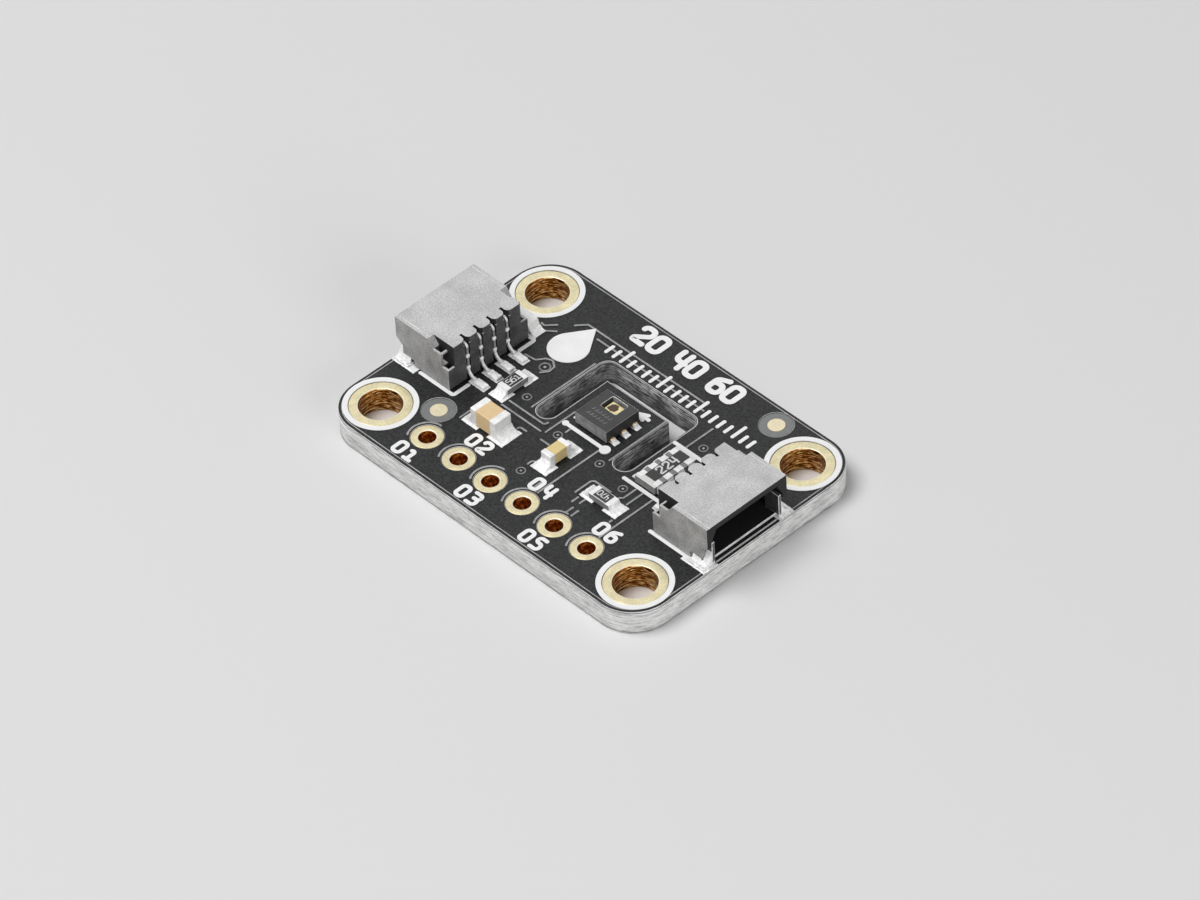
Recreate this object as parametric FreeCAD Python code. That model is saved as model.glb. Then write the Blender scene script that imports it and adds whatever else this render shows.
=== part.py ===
import FreeCAD, Part
import math
import os

from FreeCAD import Placement, Rotation, Vector

# Sensor breakout board, in millimetres.
# The origin is the middle of the board's underside, X runs along the long side,
# Y from the pin row towards the opposite long edge, and Z upwards.

# Board
board_thickness = 1.6
board_corner_radius = 2.4
hole_to_short_edge = 2.305
hole_to_long_edge = 2.425

# Sensor tongue, cut free by a slot in the shape of an upside-down U
tongue_width = 4.88
tongue_tip_y = 3.64
slot_width = 1.25
slot_leg_reach = 0.9

# Plated holes
plating_thickness = 0.035
flange_thickness = 0.05
flange_rim_gap = 0.03
mounting_hole_radius = 1.25
mounting_flange_width = 0.55
pin_pitch = 2.54
pin_hole_radius = 0.5
pin_flange_width = 0.43
pin_row_end_gap = 0.5

# Round alignment marks in bare openings of the mask
mark_radius = 0.5
mark_opening_radius = 1.0
low_mark_from_hole_x = 2.68
low_mark_from_hole_y = 1.91
high_mark_from_hole_x = 3.27
high_mark_from_hole_y = 1.22

# Solder pads
pad_height = 0.05

# Socket housing
housing_width = 6.0
housing_depth = 4.26
housing_height = 2.85
housing_lift = 0.1
housing_setback = 0.085
core_width = 5.0
side_wall_length = 2.66
side_wall_slope = 0.39
upper_ledge_drop = 0.55
lower_ledge_height = 1.4
lower_ledge_length = 0.55
pocket_skin = 0.14
pocket_bar = 0.12
lower_pocket_depth = 0.9
cavity_depth = 3.06
cavity_top_width = 4.6
cavity_bottom_width = 5.4
cavity_taper_height = 0.78
top_wall = 0.37
floor_thickness = 0.18
floor_setback = 0.37
rear_slot_width = 0.34
rear_slot_roof = 0.4
top_slot_width = 0.17
tongue_corner_radius = 0.3

# Socket contacts
contact_count = 4
contact_pitch = 1.0
contact_width = 0.14
contact_thickness = 0.16
contact_riser_inset = 0.08
contact_hairpin_radius = 0.19
contact_hairpin_height = 2.47
contact_blade_height = 1.2
contact_blade_reach = 1.9
contact_elbow_radius = 0.2
contact_sweep_radius = 0.68
contact_foot_reach = 1.3
bead_radius = 0.15
bead_heights = (0.82, 1.66)

# Pads and solder of the contacts
contact_pad_width = 0.6
contact_pad_reach = 1.44
contact_pad_tuck = 0.12
contact_mound_width = 0.48
contact_mound_length = 0.8
contact_mound_cover = 0.06

# Socket anchors
anchor_thickness = 0.15
anchor_leg_width = 0.2
anchor_leg_gap = 0.08
anchor_leg_height = 1.65
anchor_length = 1.1
anchor_setback = 0.06
anchor_foot_overhang = 0.36
anchor_pad_length = 1.83
anchor_pad_overhang = 0.46
anchor_pad_inset = 0.68
anchor_fillet_height = 0.57
anchor_opening_margin = 0.25
anchor_opening_low = 0.5
anchor_opening_step = 0.5
anchor_opening_middle = 1.1
anchor_opening_high = 1.5

# Sensor
sensor_side = 2.5
sensor_height = 0.78
sensor_to_tongue_tip = 1.13
sensor_off_middle = 0.05
window_length = 1.2
window_width = 1.0
window_depth = 0.45
window_corner_radius = 0.12
window_from_middle = 0.58
element_margin = 0.16
element_height = 0.25
sensor_leads_per_side = 3
sensor_lead_pitch = 0.83
sensor_lead_width = 0.36
sensor_lead_length = 0.4
sensor_lead_height = 0.08
sensor_lead_overhang = 0.05
sensor_pad_width = 0.44
sensor_pad_reach = 0.45
sensor_bead_height = 0.26

# Large capacitor, long side along X
large_capacitor_x = -4.355
large_capacitor_y = -3.36
large_capacitor_length = 2.0
large_capacitor_width = 1.24
large_capacitor_height = 1.2
large_capacitor_cap = 0.44
large_capacitor_pad_reach = 0.66
large_capacitor_pad_tuck = 0.62
large_capacitor_pad_width = 1.6

# Small capacitor, long side along Y
small_capacitor_x = 0.07
small_capacitor_y = -2.62
small_capacitor_length = 1.58
small_capacitor_width = 0.8
small_capacitor_height = 0.8
small_capacitor_cap = 0.33
small_capacitor_pad_reach = 0.66
small_capacitor_pad_tuck = 0.35
small_capacitor_pad_width = 1.26

cap_thickness = 0.03
cap_edge_radius = 0.07

# Two single resistors
resistor_length = 1.6
resistor_width = 0.8
resistor_height = 0.42
resistor_terminal = 0.32
resistor_coating_margin = 0.05
coating_thickness = 0.04
terminal_thickness = 0.03
resistor_pad_reach = 0.62
resistor_pad_tuck = 0.42
resistor_pad_width = 1.15
left_resistor_from_contacts = 0.22
left_resistor_y = -0.28
front_resistor_x = 4.46
front_resistor_y = -3.21

# Array of four resistors, long side along Y
array_length = 3.2
array_width = 1.55
array_height = 0.5
array_y = 0.64
array_pitch = 0.8
array_terminal_width = 0.46
array_terminal = 0.38
array_coating_low_margin = 0.39
array_coating_high_margin = 0.14
array_pad_reach = 0.45
array_pad_tuck = 0.3
array_pad_width = 0.5
array_to_slot = 0.42
array_to_contacts = 0.12

# Indicator lamp chip beside the left socket, long side along X
indicator_length = 1.6
indicator_width = 0.8
indicator_base_height = 0.22
indicator_lens_height = 0.42
indicator_lens_length = 1.5
indicator_lens_taper = 0.18
indicator_terminal = 0.24
indicator_from_hole_x = 1.15
indicator_to_socket = 0.25
indicator_to_flange = 0.5
indicator_pad_reach = 0.38
indicator_pad_tuck = 0.3
indicator_pad_width = 0.86

# Places that follow from the sizes above
mounting_flange_radius = mounting_hole_radius + mounting_flange_width
pin_flange_radius = pin_hole_radius + pin_flange_width
slot_inner_x = tongue_width / 2
slot_outer_x = slot_inner_x + slot_width
slot_top_y = tongue_tip_y + slot_width
array_x = slot_outer_x + array_to_slot + array_pad_reach + array_width / 2
contact_pad_end_x = array_x + array_width / 2 + array_pad_reach + array_to_contacts
socket_rear_x = contact_pad_end_x + contact_pad_reach
board_half_length = socket_rear_x + housing_depth + housing_setback
hole_x = board_half_length - hole_to_short_edge
indicator_y = housing_width / 2 + indicator_to_socket + indicator_width / 2
hole_y = indicator_y + indicator_width / 2 + indicator_to_flange + mounting_flange_radius
board_half_width = hole_y + hole_to_long_edge
sensor_y = tongue_tip_y - sensor_to_tongue_tip - sensor_side / 2
left_resistor_x = (
    left_resistor_from_contacts + resistor_pad_width / 2 - contact_pad_end_x
)
indicator_x = indicator_from_hole_x - hole_x
pin_row_room = 2 * (hole_x - mounting_flange_radius - pin_row_end_gap - pin_flange_radius)
pin_count = int(pin_row_room / pin_pitch) + 1
housing_top = housing_lift + housing_height


def block(x_range, y_range, z_range):
    """A box between two limits on each axis."""
    low = [min(limits) for limits in (x_range, y_range, z_range)]
    high = [max(limits) for limits in (x_range, y_range, z_range)]
    size = [top - bottom for top, bottom in zip(high, low)]
    return Part.makeBox(size[0], size[1], size[2], Vector(*low))


def centred_block(x, y, length, width, z_range):
    """A box centred on x and y."""
    return block((x - length / 2, x + length / 2), (y - width / 2, y + width / 2), z_range)


def cylinder(x, y, radius, z_range):
    """An upright cylinder."""
    return Part.makeCylinder(radius, z_range[1] - z_range[0], Vector(x, y, z_range[0]))


def face_from(points):
    """A flat face inside a closed outline."""
    return Part.Face(Part.makePolygon(points + points[:1]))


def profile_along_y(points, y_range):
    """An outline in X and Z, carried along Y."""
    outline = [Vector(x, y_range[0], z) for x, z in points]
    return face_from(outline).extrude(Vector(0, y_range[1] - y_range[0], 0))


def profile_along_x(points, x_range):
    """An outline in Y and Z, carried along X."""
    outline = [Vector(x_range[0], y, z) for y, z in points]
    return face_from(outline).extrude(Vector(x_range[1] - x_range[0], 0, 0))


def rounded_slab(half_length, half_width, radius, thickness):
    """A plate with round corners, standing on Z = 0."""
    slab = block((-half_length, half_length), (-half_width, half_width), (0, thickness))
    upright = [edge for edge in slab.Edges if abs(edge.BoundBox.ZLength - thickness) < 1e-6]
    return slab.makeFillet(radius, upright)


def tube(x, y, inner, outer, z_range):
    """An upright tube."""
    return cylinder(x, y, outer, z_range).cut(cylinder(x, y, inner, z_range))


def flanged_plating(x, y, hole_radius, flange_radius):
    """The metal lining of a hole with a flange sunk into each face of the board."""
    barrel = tube(x, y, hole_radius, hole_radius + plating_thickness, (0, board_thickness))
    low = tube(x, y, hole_radius, flange_radius, (0, flange_thickness))
    high_range = (board_thickness - flange_thickness, board_thickness)
    high = tube(x, y, hole_radius, flange_radius, high_range)
    return barrel.fuse([low, high]).removeSplitter()


def plating_seat(x, y, hole_radius, flange_radius):
    """What is taken out of the board for one plated hole."""
    seat_radius = flange_radius + flange_rim_gap
    bore = cylinder(x, y, hole_radius + plating_thickness, (0, board_thickness))
    low = cylinder(x, y, seat_radius, (0, flange_thickness))
    high_range = (board_thickness - flange_thickness, board_thickness)
    high = cylinder(x, y, seat_radius, high_range)
    return bore.fuse([low, high])


def tongue_slot():
    """The upside-down U that cuts the sensor tongue free on three sides."""
    depth = (0, board_thickness)
    leg_end_y = slot_width / 2 - slot_leg_reach
    leg_middle_x = slot_inner_x + slot_width / 2
    outer = block((-slot_outer_x, slot_outer_x), (leg_end_y, slot_top_y), depth)
    top_corners = [
        edge
        for edge in outer.Edges
        if edge.CenterOfMass.y > tongue_tip_y and edge.BoundBox.ZLength > board_thickness / 2
    ]
    outer = outer.makeFillet(slot_width / 2, top_corners)
    tongue = block((-slot_inner_x, slot_inner_x), (leg_end_y, tongue_tip_y), depth)
    leg_ends = [cylinder(side * leg_middle_x, leg_end_y, slot_width / 2, depth) for side in (-1, 1)]
    return outer.cut(tongue).fuse(leg_ends)


def bent_strip(points, radii, width, thickness):
    """A rectangular wire that follows points in X and Z, rounded at its corners."""
    path = [Vector(x, 0, z) for x, z in points]
    edges = []
    start = path[0]
    for corner, radius, before, after in zip(path[1:-1], radii, path[:-2], path[2:]):
        towards = (before - corner).normalize()
        onwards = (after - corner).normalize()
        half_angle = towards.getAngle(onwards) / 2
        reach = radius / math.tan(half_angle)
        arc_start = corner + towards * reach
        arc_end = corner + onwards * reach
        middle_way = (towards + onwards).normalize()
        arc_middle = corner + middle_way * (radius / math.sin(half_angle) - radius)
        if (arc_start - start).Length > 1e-6:
            edges.append(Part.LineSegment(start, arc_start).toShape())
        edges.append(Part.Arc(arc_start, arc_middle, arc_end).toShape())
        start = arc_end
    edges.append(Part.LineSegment(start, path[-1]).toShape())
    section = Part.makePolygon(
        [
            path[0] + Vector(0, -width / 2, -thickness / 2),
            path[0] + Vector(0, width / 2, -thickness / 2),
            path[0] + Vector(0, width / 2, thickness / 2),
            path[0] + Vector(0, -width / 2, thickness / 2),
            path[0] + Vector(0, -width / 2, -thickness / 2),
        ]
    )
    return Part.Wire(edges).makePipeShell([section], True, False)


def solder_fillet(reach, low, high, width):
    """A hollow-faced wedge of solder against a face at X = 0, carried along Y."""
    foot = Vector(reach, -width / 2, low)
    top = Vector(0, -width / 2, high)
    root = Vector(0, -width / 2, low)
    hollow = Part.BezierCurve()
    hollow.setPoles([foot, root + (foot - root) / 4 + (top - root) / 4, top])
    outline = Part.Wire(
        [
            Part.LineSegment(root, foot).toShape(),
            hollow.toShape(),
            Part.LineSegment(top, root).toShape(),
        ]
    )
    return Part.Face(outline).extrude(Vector(0, width, 0))


def end_joint(pad_reach, pad_tuck, pad_width, part_width, height):
    """The pad and solder at the end of a chip whose end face is X = 0."""
    pad = block((-pad_tuck, pad_reach), (-pad_width / 2, pad_width / 2), (0, pad_height))
    wedge = solder_fillet(pad_reach, pad_height, pad_height + height, part_width)
    return pad.fuse(wedge)


def turned(shape, angle, x, y):
    """A copy turned about Z, then moved on to the board's top face."""
    copy = shape.copy()
    place = Placement(Vector(x, y, board_thickness), Rotation(Vector(0, 0, 1), angle))
    copy.transformShape(place.toMatrix())
    return copy


def joint_pair(length, joint):
    """Two joints, one at each end of a chip that lies along X."""
    ahead = joint.copy()
    ahead.translate(Vector(length / 2, 0, 0))
    behind = joint.copy()
    behind.rotate(Vector(0, 0, 0), Vector(0, 0, 1), 180)
    behind.translate(Vector(-length / 2, 0, 0))
    return Part.makeCompound([ahead, behind])


def capacitor(length, width, height, cap_length):
    """A ceramic block with a metal cap over each end, lying along X."""
    core_range = (pad_height + cap_thickness, pad_height + height - cap_thickness)
    core = centred_block(
        0, 0, length - 2 * cap_thickness, width - 2 * cap_thickness, core_range
    )
    caps = []
    for side in (1, -1):
        end = side * length / 2
        cap = block(
            (end - side * cap_length, end),
            (-width / 2, width / 2),
            (pad_height, pad_height + height),
        )
        rounded = [
            edge
            for edge in cap.Edges
            if abs(edge.CenterOfMass.x - (end - side * cap_length)) > 1e-6
        ]
        caps.append(cap.makeFillet(cap_edge_radius, rounded).cut(core))
    return core, caps


def wrap_terminal(side, length, band, height, width):
    """A metal strip folded over one end of a chip, from its top to its underside."""
    end = side * length / 2
    inner_end = end - side * terminal_thickness
    inner_edge = end - side * band
    outline = [
        (inner_edge, pad_height),
        (end, pad_height),
        (end, pad_height + height),
        (inner_edge, pad_height + height),
        (inner_edge, pad_height + height - terminal_thickness),
        (inner_end, pad_height + height - terminal_thickness),
        (inner_end, pad_height + terminal_thickness),
        (inner_edge, pad_height + terminal_thickness),
    ]
    return profile_along_y(outline, (-width / 2, width / 2))


def chip_resistor():
    """Ceramic plate, black coating and two end terminals, lying along X."""
    terminals = [
        wrap_terminal(side, resistor_length, resistor_terminal, resistor_height, resistor_width)
        for side in (1, -1)
    ]
    plate = centred_block(
        0, 0, resistor_length, resistor_width, (pad_height, pad_height + resistor_height)
    )
    plate = plate.cut(terminals)
    coating = centred_block(
        0,
        0,
        resistor_length - 2 * resistor_terminal,
        resistor_width - 2 * resistor_coating_margin,
        (pad_height + resistor_height, pad_height + resistor_height + coating_thickness),
    )
    return plate, coating, terminals


def resistor_array():
    """Ceramic plate, black coating and eight terminals, with the terminals facing X."""
    rows = [array_pitch * (index - 1.5) for index in range(4)]
    terminals = []
    for side in (1, -1):
        for row in rows:
            terminal = wrap_terminal(
                side, array_width, array_terminal, array_height, array_terminal_width
            )
            terminal.translate(Vector(0, row, 0))
            terminals.append(terminal)
    plate = centred_block(
        0, 0, array_width, array_length, (pad_height, pad_height + array_height)
    )
    plate = plate.cut(terminals)
    coating_half_width = array_width / 2 - array_terminal
    coating = block(
        (-coating_half_width, coating_half_width),
        (array_coating_low_margin - array_length / 2, array_length / 2 - array_coating_high_margin),
        (pad_height + array_height, pad_height + array_height + coating_thickness),
    )
    joint = end_joint(
        array_pad_reach, array_pad_tuck, array_pad_width, array_terminal_width, array_height
    )
    joints = []
    for row in rows:
        pair = joint_pair(array_width, joint)
        pair.translate(Vector(0, row, 0))
        joints.append(pair)
    return plate, coating, Part.makeCompound(terminals), Part.makeCompound(joints)


def indicator():
    """Base, tapered lens and two end terminals of the lamp chip, lying along X."""
    base_top = pad_height + indicator_base_height
    terminals = [
        wrap_terminal(
            side, indicator_length, indicator_terminal, indicator_base_height, indicator_width
        )
        for side in (1, -1)
    ]
    base = centred_block(0, 0, indicator_length, indicator_width, (pad_height, base_top))
    base = base.cut(terminals)
    foot = indicator_lens_length / 2
    crown = foot - indicator_lens_taper
    outline = [
        (-foot, base_top),
        (foot, base_top),
        (crown, base_top + indicator_lens_height),
        (-crown, base_top + indicator_lens_height),
    ]
    lens = profile_along_y(outline, (-indicator_width / 2, indicator_width / 2))
    return base, lens, terminals


def contact_rows():
    """The sideways places of a socket's contacts."""
    return [contact_pitch * (index - (contact_count - 1) / 2) for index in range(contact_count)]


def socket_contact(row):
    """One formed strip: foot, sweep, riser, hairpin into the wall and blade in the cavity."""
    foot_height = pad_height + contact_thickness / 2
    riser = contact_riser_inset
    inner_riser = riser + 2 * contact_hairpin_radius
    blade_end = housing_depth - cavity_depth + contact_blade_reach
    points = [
        (-contact_foot_reach, foot_height),
        (riser, foot_height),
        (riser, contact_hairpin_height),
        (inner_riser, contact_hairpin_height),
        (inner_riser, contact_blade_height),
        (blade_end, contact_blade_height),
    ]
    radii = [
        contact_sweep_radius,
        contact_hairpin_radius,
        contact_hairpin_radius,
        contact_elbow_radius,
    ]
    strip = bent_strip(points, radii, contact_width, contact_thickness)
    beads = [Part.makeSphere(bead_radius, Vector(riser, 0, height)) for height in bead_heights]
    contact = strip.fuse(beads)
    contact.translate(Vector(0, row, 0))
    return contact


def socket_anchor(side):
    """One bent plate: a leg beside the cavity's side wall and a foot out on the board."""
    leg_outer_y = cavity_bottom_width / 2 - anchor_leg_gap
    leg_inner_y = leg_outer_y - anchor_leg_width
    foot_end_y = housing_width / 2 + anchor_foot_overhang
    outline = [
        (side * leg_inner_y, pad_height),
        (side * foot_end_y, pad_height),
        (side * foot_end_y, pad_height + anchor_thickness),
        (side * leg_outer_y, pad_height + anchor_thickness),
        (side * leg_outer_y, pad_height + anchor_leg_height),
        (side * leg_inner_y, pad_height + anchor_leg_height),
    ]
    front = housing_depth - anchor_setback
    return profile_along_x(outline, (front - anchor_length, front))


def socket_cavity():
    """The space for the cable's plug, wider at its floor than at its roof."""
    roof = housing_top - top_wall
    floor = housing_lift + floor_thickness
    bend = roof - cavity_taper_height
    outline = [
        (-cavity_top_width / 2, roof),
        (-cavity_bottom_width / 2, bend),
        (-cavity_bottom_width / 2, floor),
        (cavity_bottom_width / 2, floor),
        (cavity_bottom_width / 2, bend),
        (cavity_top_width / 2, roof),
    ]
    cavity = profile_along_x(outline, (housing_depth - cavity_depth, housing_depth))
    front_gap = block(
        (housing_depth - floor_setback, housing_depth),
        (-cavity_bottom_width / 2, cavity_bottom_width / 2),
        (housing_lift, floor),
    )
    return [cavity, front_gap]


def socket_side_relief(side):
    """The stepped cut-away with its two pockets at a rear corner of the housing."""
    wall_end = housing_depth - side_wall_length
    slope_end = wall_end - side_wall_slope
    upper_ledge = housing_top - upper_ledge_drop
    lower_ledge = housing_lift + lower_ledge_height
    outline = [
        (wall_end, housing_top),
        (slope_end, upper_ledge),
        (lower_ledge_length, upper_ledge),
        (lower_ledge_length, lower_ledge),
        (0, lower_ledge),
        (0, housing_top),
    ]
    core_y = side * core_width / 2
    outer_y = side * housing_width / 2
    skin_y = side * (housing_width / 2 - pocket_skin)
    steps = profile_along_y(outline, (core_y, outer_y))
    bar_end = lower_ledge_length + pocket_bar
    upper_pocket = block((bar_end, slope_end), (core_y, skin_y), (lower_ledge, upper_ledge))
    under_bar = block(
        (lower_ledge_length, bar_end), (core_y, skin_y), (lower_ledge, upper_ledge - pocket_bar)
    )
    lower_pocket = block(
        (pocket_skin, lower_ledge_length),
        (core_y, skin_y),
        (lower_ledge - lower_pocket_depth, lower_ledge),
    )
    return [steps, upper_pocket, under_bar, lower_pocket]


def socket_anchor_opening(side):
    """The stepped opening in a side wall that lets the anchor's foot out at the front."""
    rear = housing_depth - anchor_setback - anchor_length - anchor_opening_margin
    step = housing_depth - anchor_opening_step
    outline = [
        (rear, housing_lift),
        (rear, anchor_opening_low),
        (step, anchor_opening_low),
        (step, anchor_opening_middle),
        (housing_depth, anchor_opening_high),
        (housing_depth, housing_lift),
    ]
    walls = sorted((side * cavity_bottom_width / 2, side * housing_width / 2))
    return profile_along_y(outline, walls)


def socket_contact_slot(row):
    """The rear slot of one contact, and the slit with rounded mouth in the roof above it."""
    slot_end = contact_riser_inset + 2 * contact_hairpin_radius + contact_thickness / 2
    roof = housing_top - rear_slot_roof
    slot = block(
        (0, slot_end),
        (row - rear_slot_width / 2, row + rear_slot_width / 2),
        (housing_lift, roof),
    )
    slit = block(
        (0, slot_end), (row - top_slot_width / 2, row + top_slot_width / 2), (roof, housing_top)
    )
    mouth_half = top_slot_width / 2 + tongue_corner_radius
    mouth = block(
        (0, tongue_corner_radius), (row - mouth_half, row + mouth_half), (roof, housing_top)
    )
    corners = [
        cylinder(
            tongue_corner_radius, row + way * mouth_half, tongue_corner_radius, (roof, housing_top)
        )
        for way in (-1, 1)
    ]
    return [slot, slit, mouth.cut(corners)]


def socket_housing(contacts, anchors):
    """The moulded housing, with its mouth towards +X and its rear face on X = 0."""
    body = block(
        (0, housing_depth),
        (-housing_width / 2, housing_width / 2),
        (housing_lift, housing_top),
    )
    cuts = socket_cavity()
    for side in (-1, 1):
        cuts += socket_side_relief(side)
        cuts.append(socket_anchor_opening(side))
    for row in contact_rows():
        cuts += socket_contact_slot(row)
    return body.cut(cuts + contacts + anchors).removeSplitter()


def anchor_joint(side):
    """An anchor's pad, with a low wedge of solder at the wall and a tall one at the leg."""
    wall_y = housing_width / 2
    leg_y = cavity_bottom_width / 2 - anchor_leg_gap
    pad_end_y = wall_y + anchor_pad_overhang
    pad_front = housing_depth + housing_setback
    pad = block(
        (pad_front - anchor_pad_length, pad_front),
        (side * (wall_y - anchor_pad_inset), side * pad_end_y),
        (0, pad_height),
    )
    front = housing_depth - anchor_setback
    step = housing_depth - anchor_opening_step
    wedges = []
    for face_y, height, rear_end, front_end in (
        (wall_y, anchor_fillet_height, front - anchor_length, step),
        (leg_y, anchor_opening_middle - pad_height, step, front),
    ):
        wedge = solder_fillet(
            pad_end_y - face_y, pad_height, pad_height + height, front_end - rear_end
        )
        wedge.rotate(Vector(0, 0, 0), Vector(0, 0, 1), side * 90)
        wedge.translate(Vector((rear_end + front_end) / 2, side * face_y, 0))
        wedges.append(wedge)
    return pad.fuse(wedges)


def socket_solder(contacts, anchors, housing):
    """The pads and solder under the contacts' feet and along the anchors."""
    joints = []
    for row, contact in zip(contact_rows(), contacts):
        pad = block(
            (-contact_pad_reach, -contact_pad_tuck),
            (row - contact_pad_width / 2, row + contact_pad_width / 2),
            (0, pad_height),
        )
        mound_end = contact_mound_length - contact_foot_reach
        mound = block(
            (-contact_foot_reach - contact_mound_cover, mound_end),
            (row - contact_mound_width / 2, row + contact_mound_width / 2),
            (pad_height, pad_height + contact_thickness + contact_mound_cover),
        )
        top_edges = [
            edge
            for edge in mound.Edges
            if edge.BoundBox.ZMin > pad_height + contact_mound_cover
        ]
        mound = mound.makeFillet(2 * contact_mound_cover, top_edges)
        joints.append(pad.fuse(mound).cut(contact))
    for side, anchor in zip((-1, 1), anchors):
        joints.append(anchor_joint(side).cut([anchor, housing]))
    return Part.makeCompound(joints)


def sensor():
    """Package with a window, sensing element, leads and their solder, centred on the origin."""
    low = pad_height + sensor_lead_height
    top = low + sensor_height
    package = centred_block(0, 0, sensor_side, sensor_side, (low, top))
    window = centred_block(
        0, window_from_middle, window_length, window_width, (top - window_depth, top)
    )
    upright = [edge for edge in window.Edges if abs(edge.BoundBox.ZLength - window_depth) < 1e-6]
    package = package.cut(window.makeFillet(window_corner_radius, upright))
    element = centred_block(
        0,
        window_from_middle,
        window_length - 2 * element_margin,
        window_width - 2 * element_margin,
        (top - window_depth, top - window_depth + element_height),
    )
    leads = []
    joints = []
    for side in (-1, 1):
        for index in range(sensor_leads_per_side):
            row = sensor_lead_pitch * (index - (sensor_leads_per_side - 1) / 2)
            outer = sensor_side / 2 + sensor_lead_overhang
            x_range = (side * (outer - sensor_lead_length), side * outer)
            y_range = (row - sensor_lead_width / 2, row + sensor_lead_width / 2)
            leads.append(block(x_range, y_range, (pad_height, low)))
            joint = end_joint(
                sensor_pad_reach - sensor_lead_overhang,
                sensor_lead_length,
                sensor_pad_width,
                sensor_lead_width,
                sensor_bead_height,
            )
            if side < 0:
                joint.rotate(Vector(0, 0, 0), Vector(0, 0, 1), 180)
            joint.translate(Vector(side * outer, row, 0))
            joints.append(joint)
    return package, element, Part.makeCompound(leads), Part.makeCompound(joints)


def save(name, shape):
    """Write one piece to its own file."""
    os.makedirs("parts", exist_ok=True)
    shape.exportStep(os.path.join("parts", name + ".step"))


# Plated holes and alignment marks
mounting_places = [(x, y) for y in (-hole_y, hole_y) for x in (-hole_x, hole_x)]
pin_places = [
    (pin_pitch * (index - (pin_count - 1) / 2), -hole_y) for index in range(pin_count)
]
mark_places = [
    (low_mark_from_hole_x - hole_x, low_mark_from_hole_y - hole_y),
    (hole_x - high_mark_from_hole_x, hole_y + high_mark_from_hole_y),
]
mark_range = (board_thickness - flange_thickness, board_thickness)

for number, (x, y) in enumerate(mounting_places, 1):
    plating = flanged_plating(x, y, mounting_hole_radius, mounting_flange_radius)
    save("mounting_hole_plating_%d" % number, plating)
for number, (x, y) in enumerate(pin_places, 1):
    plating = flanged_plating(x, y, pin_hole_radius, pin_flange_radius)
    save("pin_hole_plating_%d" % number, plating)
for number, (x, y) in enumerate(mark_places, 1):
    save("alignment_mark_%d" % number, cylinder(x, y, mark_radius, mark_range))

# Board
board = rounded_slab(
    board_half_length, board_half_width, board_corner_radius, board_thickness
)
board_cuts = [tongue_slot()]
for x, y in mounting_places:
    board_cuts.append(plating_seat(x, y, mounting_hole_radius, mounting_flange_radius))
for x, y in pin_places:
    board_cuts.append(plating_seat(x, y, pin_hole_radius, pin_flange_radius))
for x, y in mark_places:
    board_cuts.append(cylinder(x, y, mark_opening_radius, mark_range))
save("circuit_board", board.cut(board_cuts))

# Sockets at both ends
contacts = [socket_contact(row) for row in contact_rows()]
anchors = [socket_anchor(side) for side in (-1, 1)]
housing = socket_housing(contacts, anchors)
solder = socket_solder(contacts, anchors, housing)
for name, angle in (("right_socket", 0), ("left_socket", 180)):
    x = socket_rear_x if angle == 0 else -socket_rear_x
    save(name + "_housing", turned(housing, angle, x, 0))
    save("solder_" + name, turned(solder, angle, x, 0))
    for number, contact in enumerate(contacts, 1):
        save("%s_contact_%d" % (name, number), turned(contact, angle, x, 0))
    for number, anchor in enumerate(anchors, 1):
        save("%s_anchor_%d" % (name, number), turned(anchor, angle, x, 0))

# Sensor
package, element, leads, joints = sensor()
save("sensor_package", turned(package, 0, sensor_off_middle, sensor_y))
save("sensing_element", turned(element, 0, sensor_off_middle, sensor_y))
save("sensor_leads", turned(leads, 0, sensor_off_middle, sensor_y))
save("solder_sensor", turned(joints, 0, sensor_off_middle, sensor_y))

# Capacitors
capacitors = (
    (
        "large_capacitor",
        0,
        (large_capacitor_x, large_capacitor_y),
        (large_capacitor_length, large_capacitor_width, large_capacitor_height),
        large_capacitor_cap,
        (large_capacitor_pad_reach, large_capacitor_pad_tuck, large_capacitor_pad_width),
    ),
    (
        "small_capacitor",
        90,
        (small_capacitor_x, small_capacitor_y),
        (small_capacitor_length, small_capacitor_width, small_capacitor_height),
        small_capacitor_cap,
        (small_capacitor_pad_reach, small_capacitor_pad_tuck, small_capacitor_pad_width),
    ),
)
for name, angle, (x, y), (length, width, height), cap_length, (reach, tuck, wide) in capacitors:
    core, caps = capacitor(length, width, height, cap_length)
    joint = end_joint(reach, tuck, wide, width, height / 2)
    save(name + "_body", turned(core, angle, x, y))
    for number, cap in enumerate(caps, 1):
        save("%s_cap_%d" % (name, number), turned(cap, angle, x, y))
    save("solder_" + name, turned(joint_pair(length, joint), angle, x, y))

# Single resistors
resistors = (
    ("left_resistor", 90, left_resistor_x, left_resistor_y),
    ("front_resistor", 0, front_resistor_x, front_resistor_y),
)
plate, coating, terminals = chip_resistor()
resistor_joint = end_joint(
    resistor_pad_reach, resistor_pad_tuck, resistor_pad_width, resistor_width, resistor_height
)
for name, angle, x, y in resistors:
    save(name + "_ceramic", turned(plate, angle, x, y))
    save(name + "_coating", turned(coating, angle, x, y))
    for number, terminal in enumerate(terminals, 1):
        save("%s_terminal_%d" % (name, number), turned(terminal, angle, x, y))
    save("solder_" + name, turned(joint_pair(resistor_length, resistor_joint), angle, x, y))

# Resistor array
plate, coating, terminals, joints = resistor_array()
save("resistor_array_ceramic", turned(plate, 0, array_x, array_y))
save("resistor_array_coating", turned(coating, 0, array_x, array_y))
save("resistor_array_terminals", turned(terminals, 0, array_x, array_y))
save("solder_resistor_array", turned(joints, 0, array_x, array_y))

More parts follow.
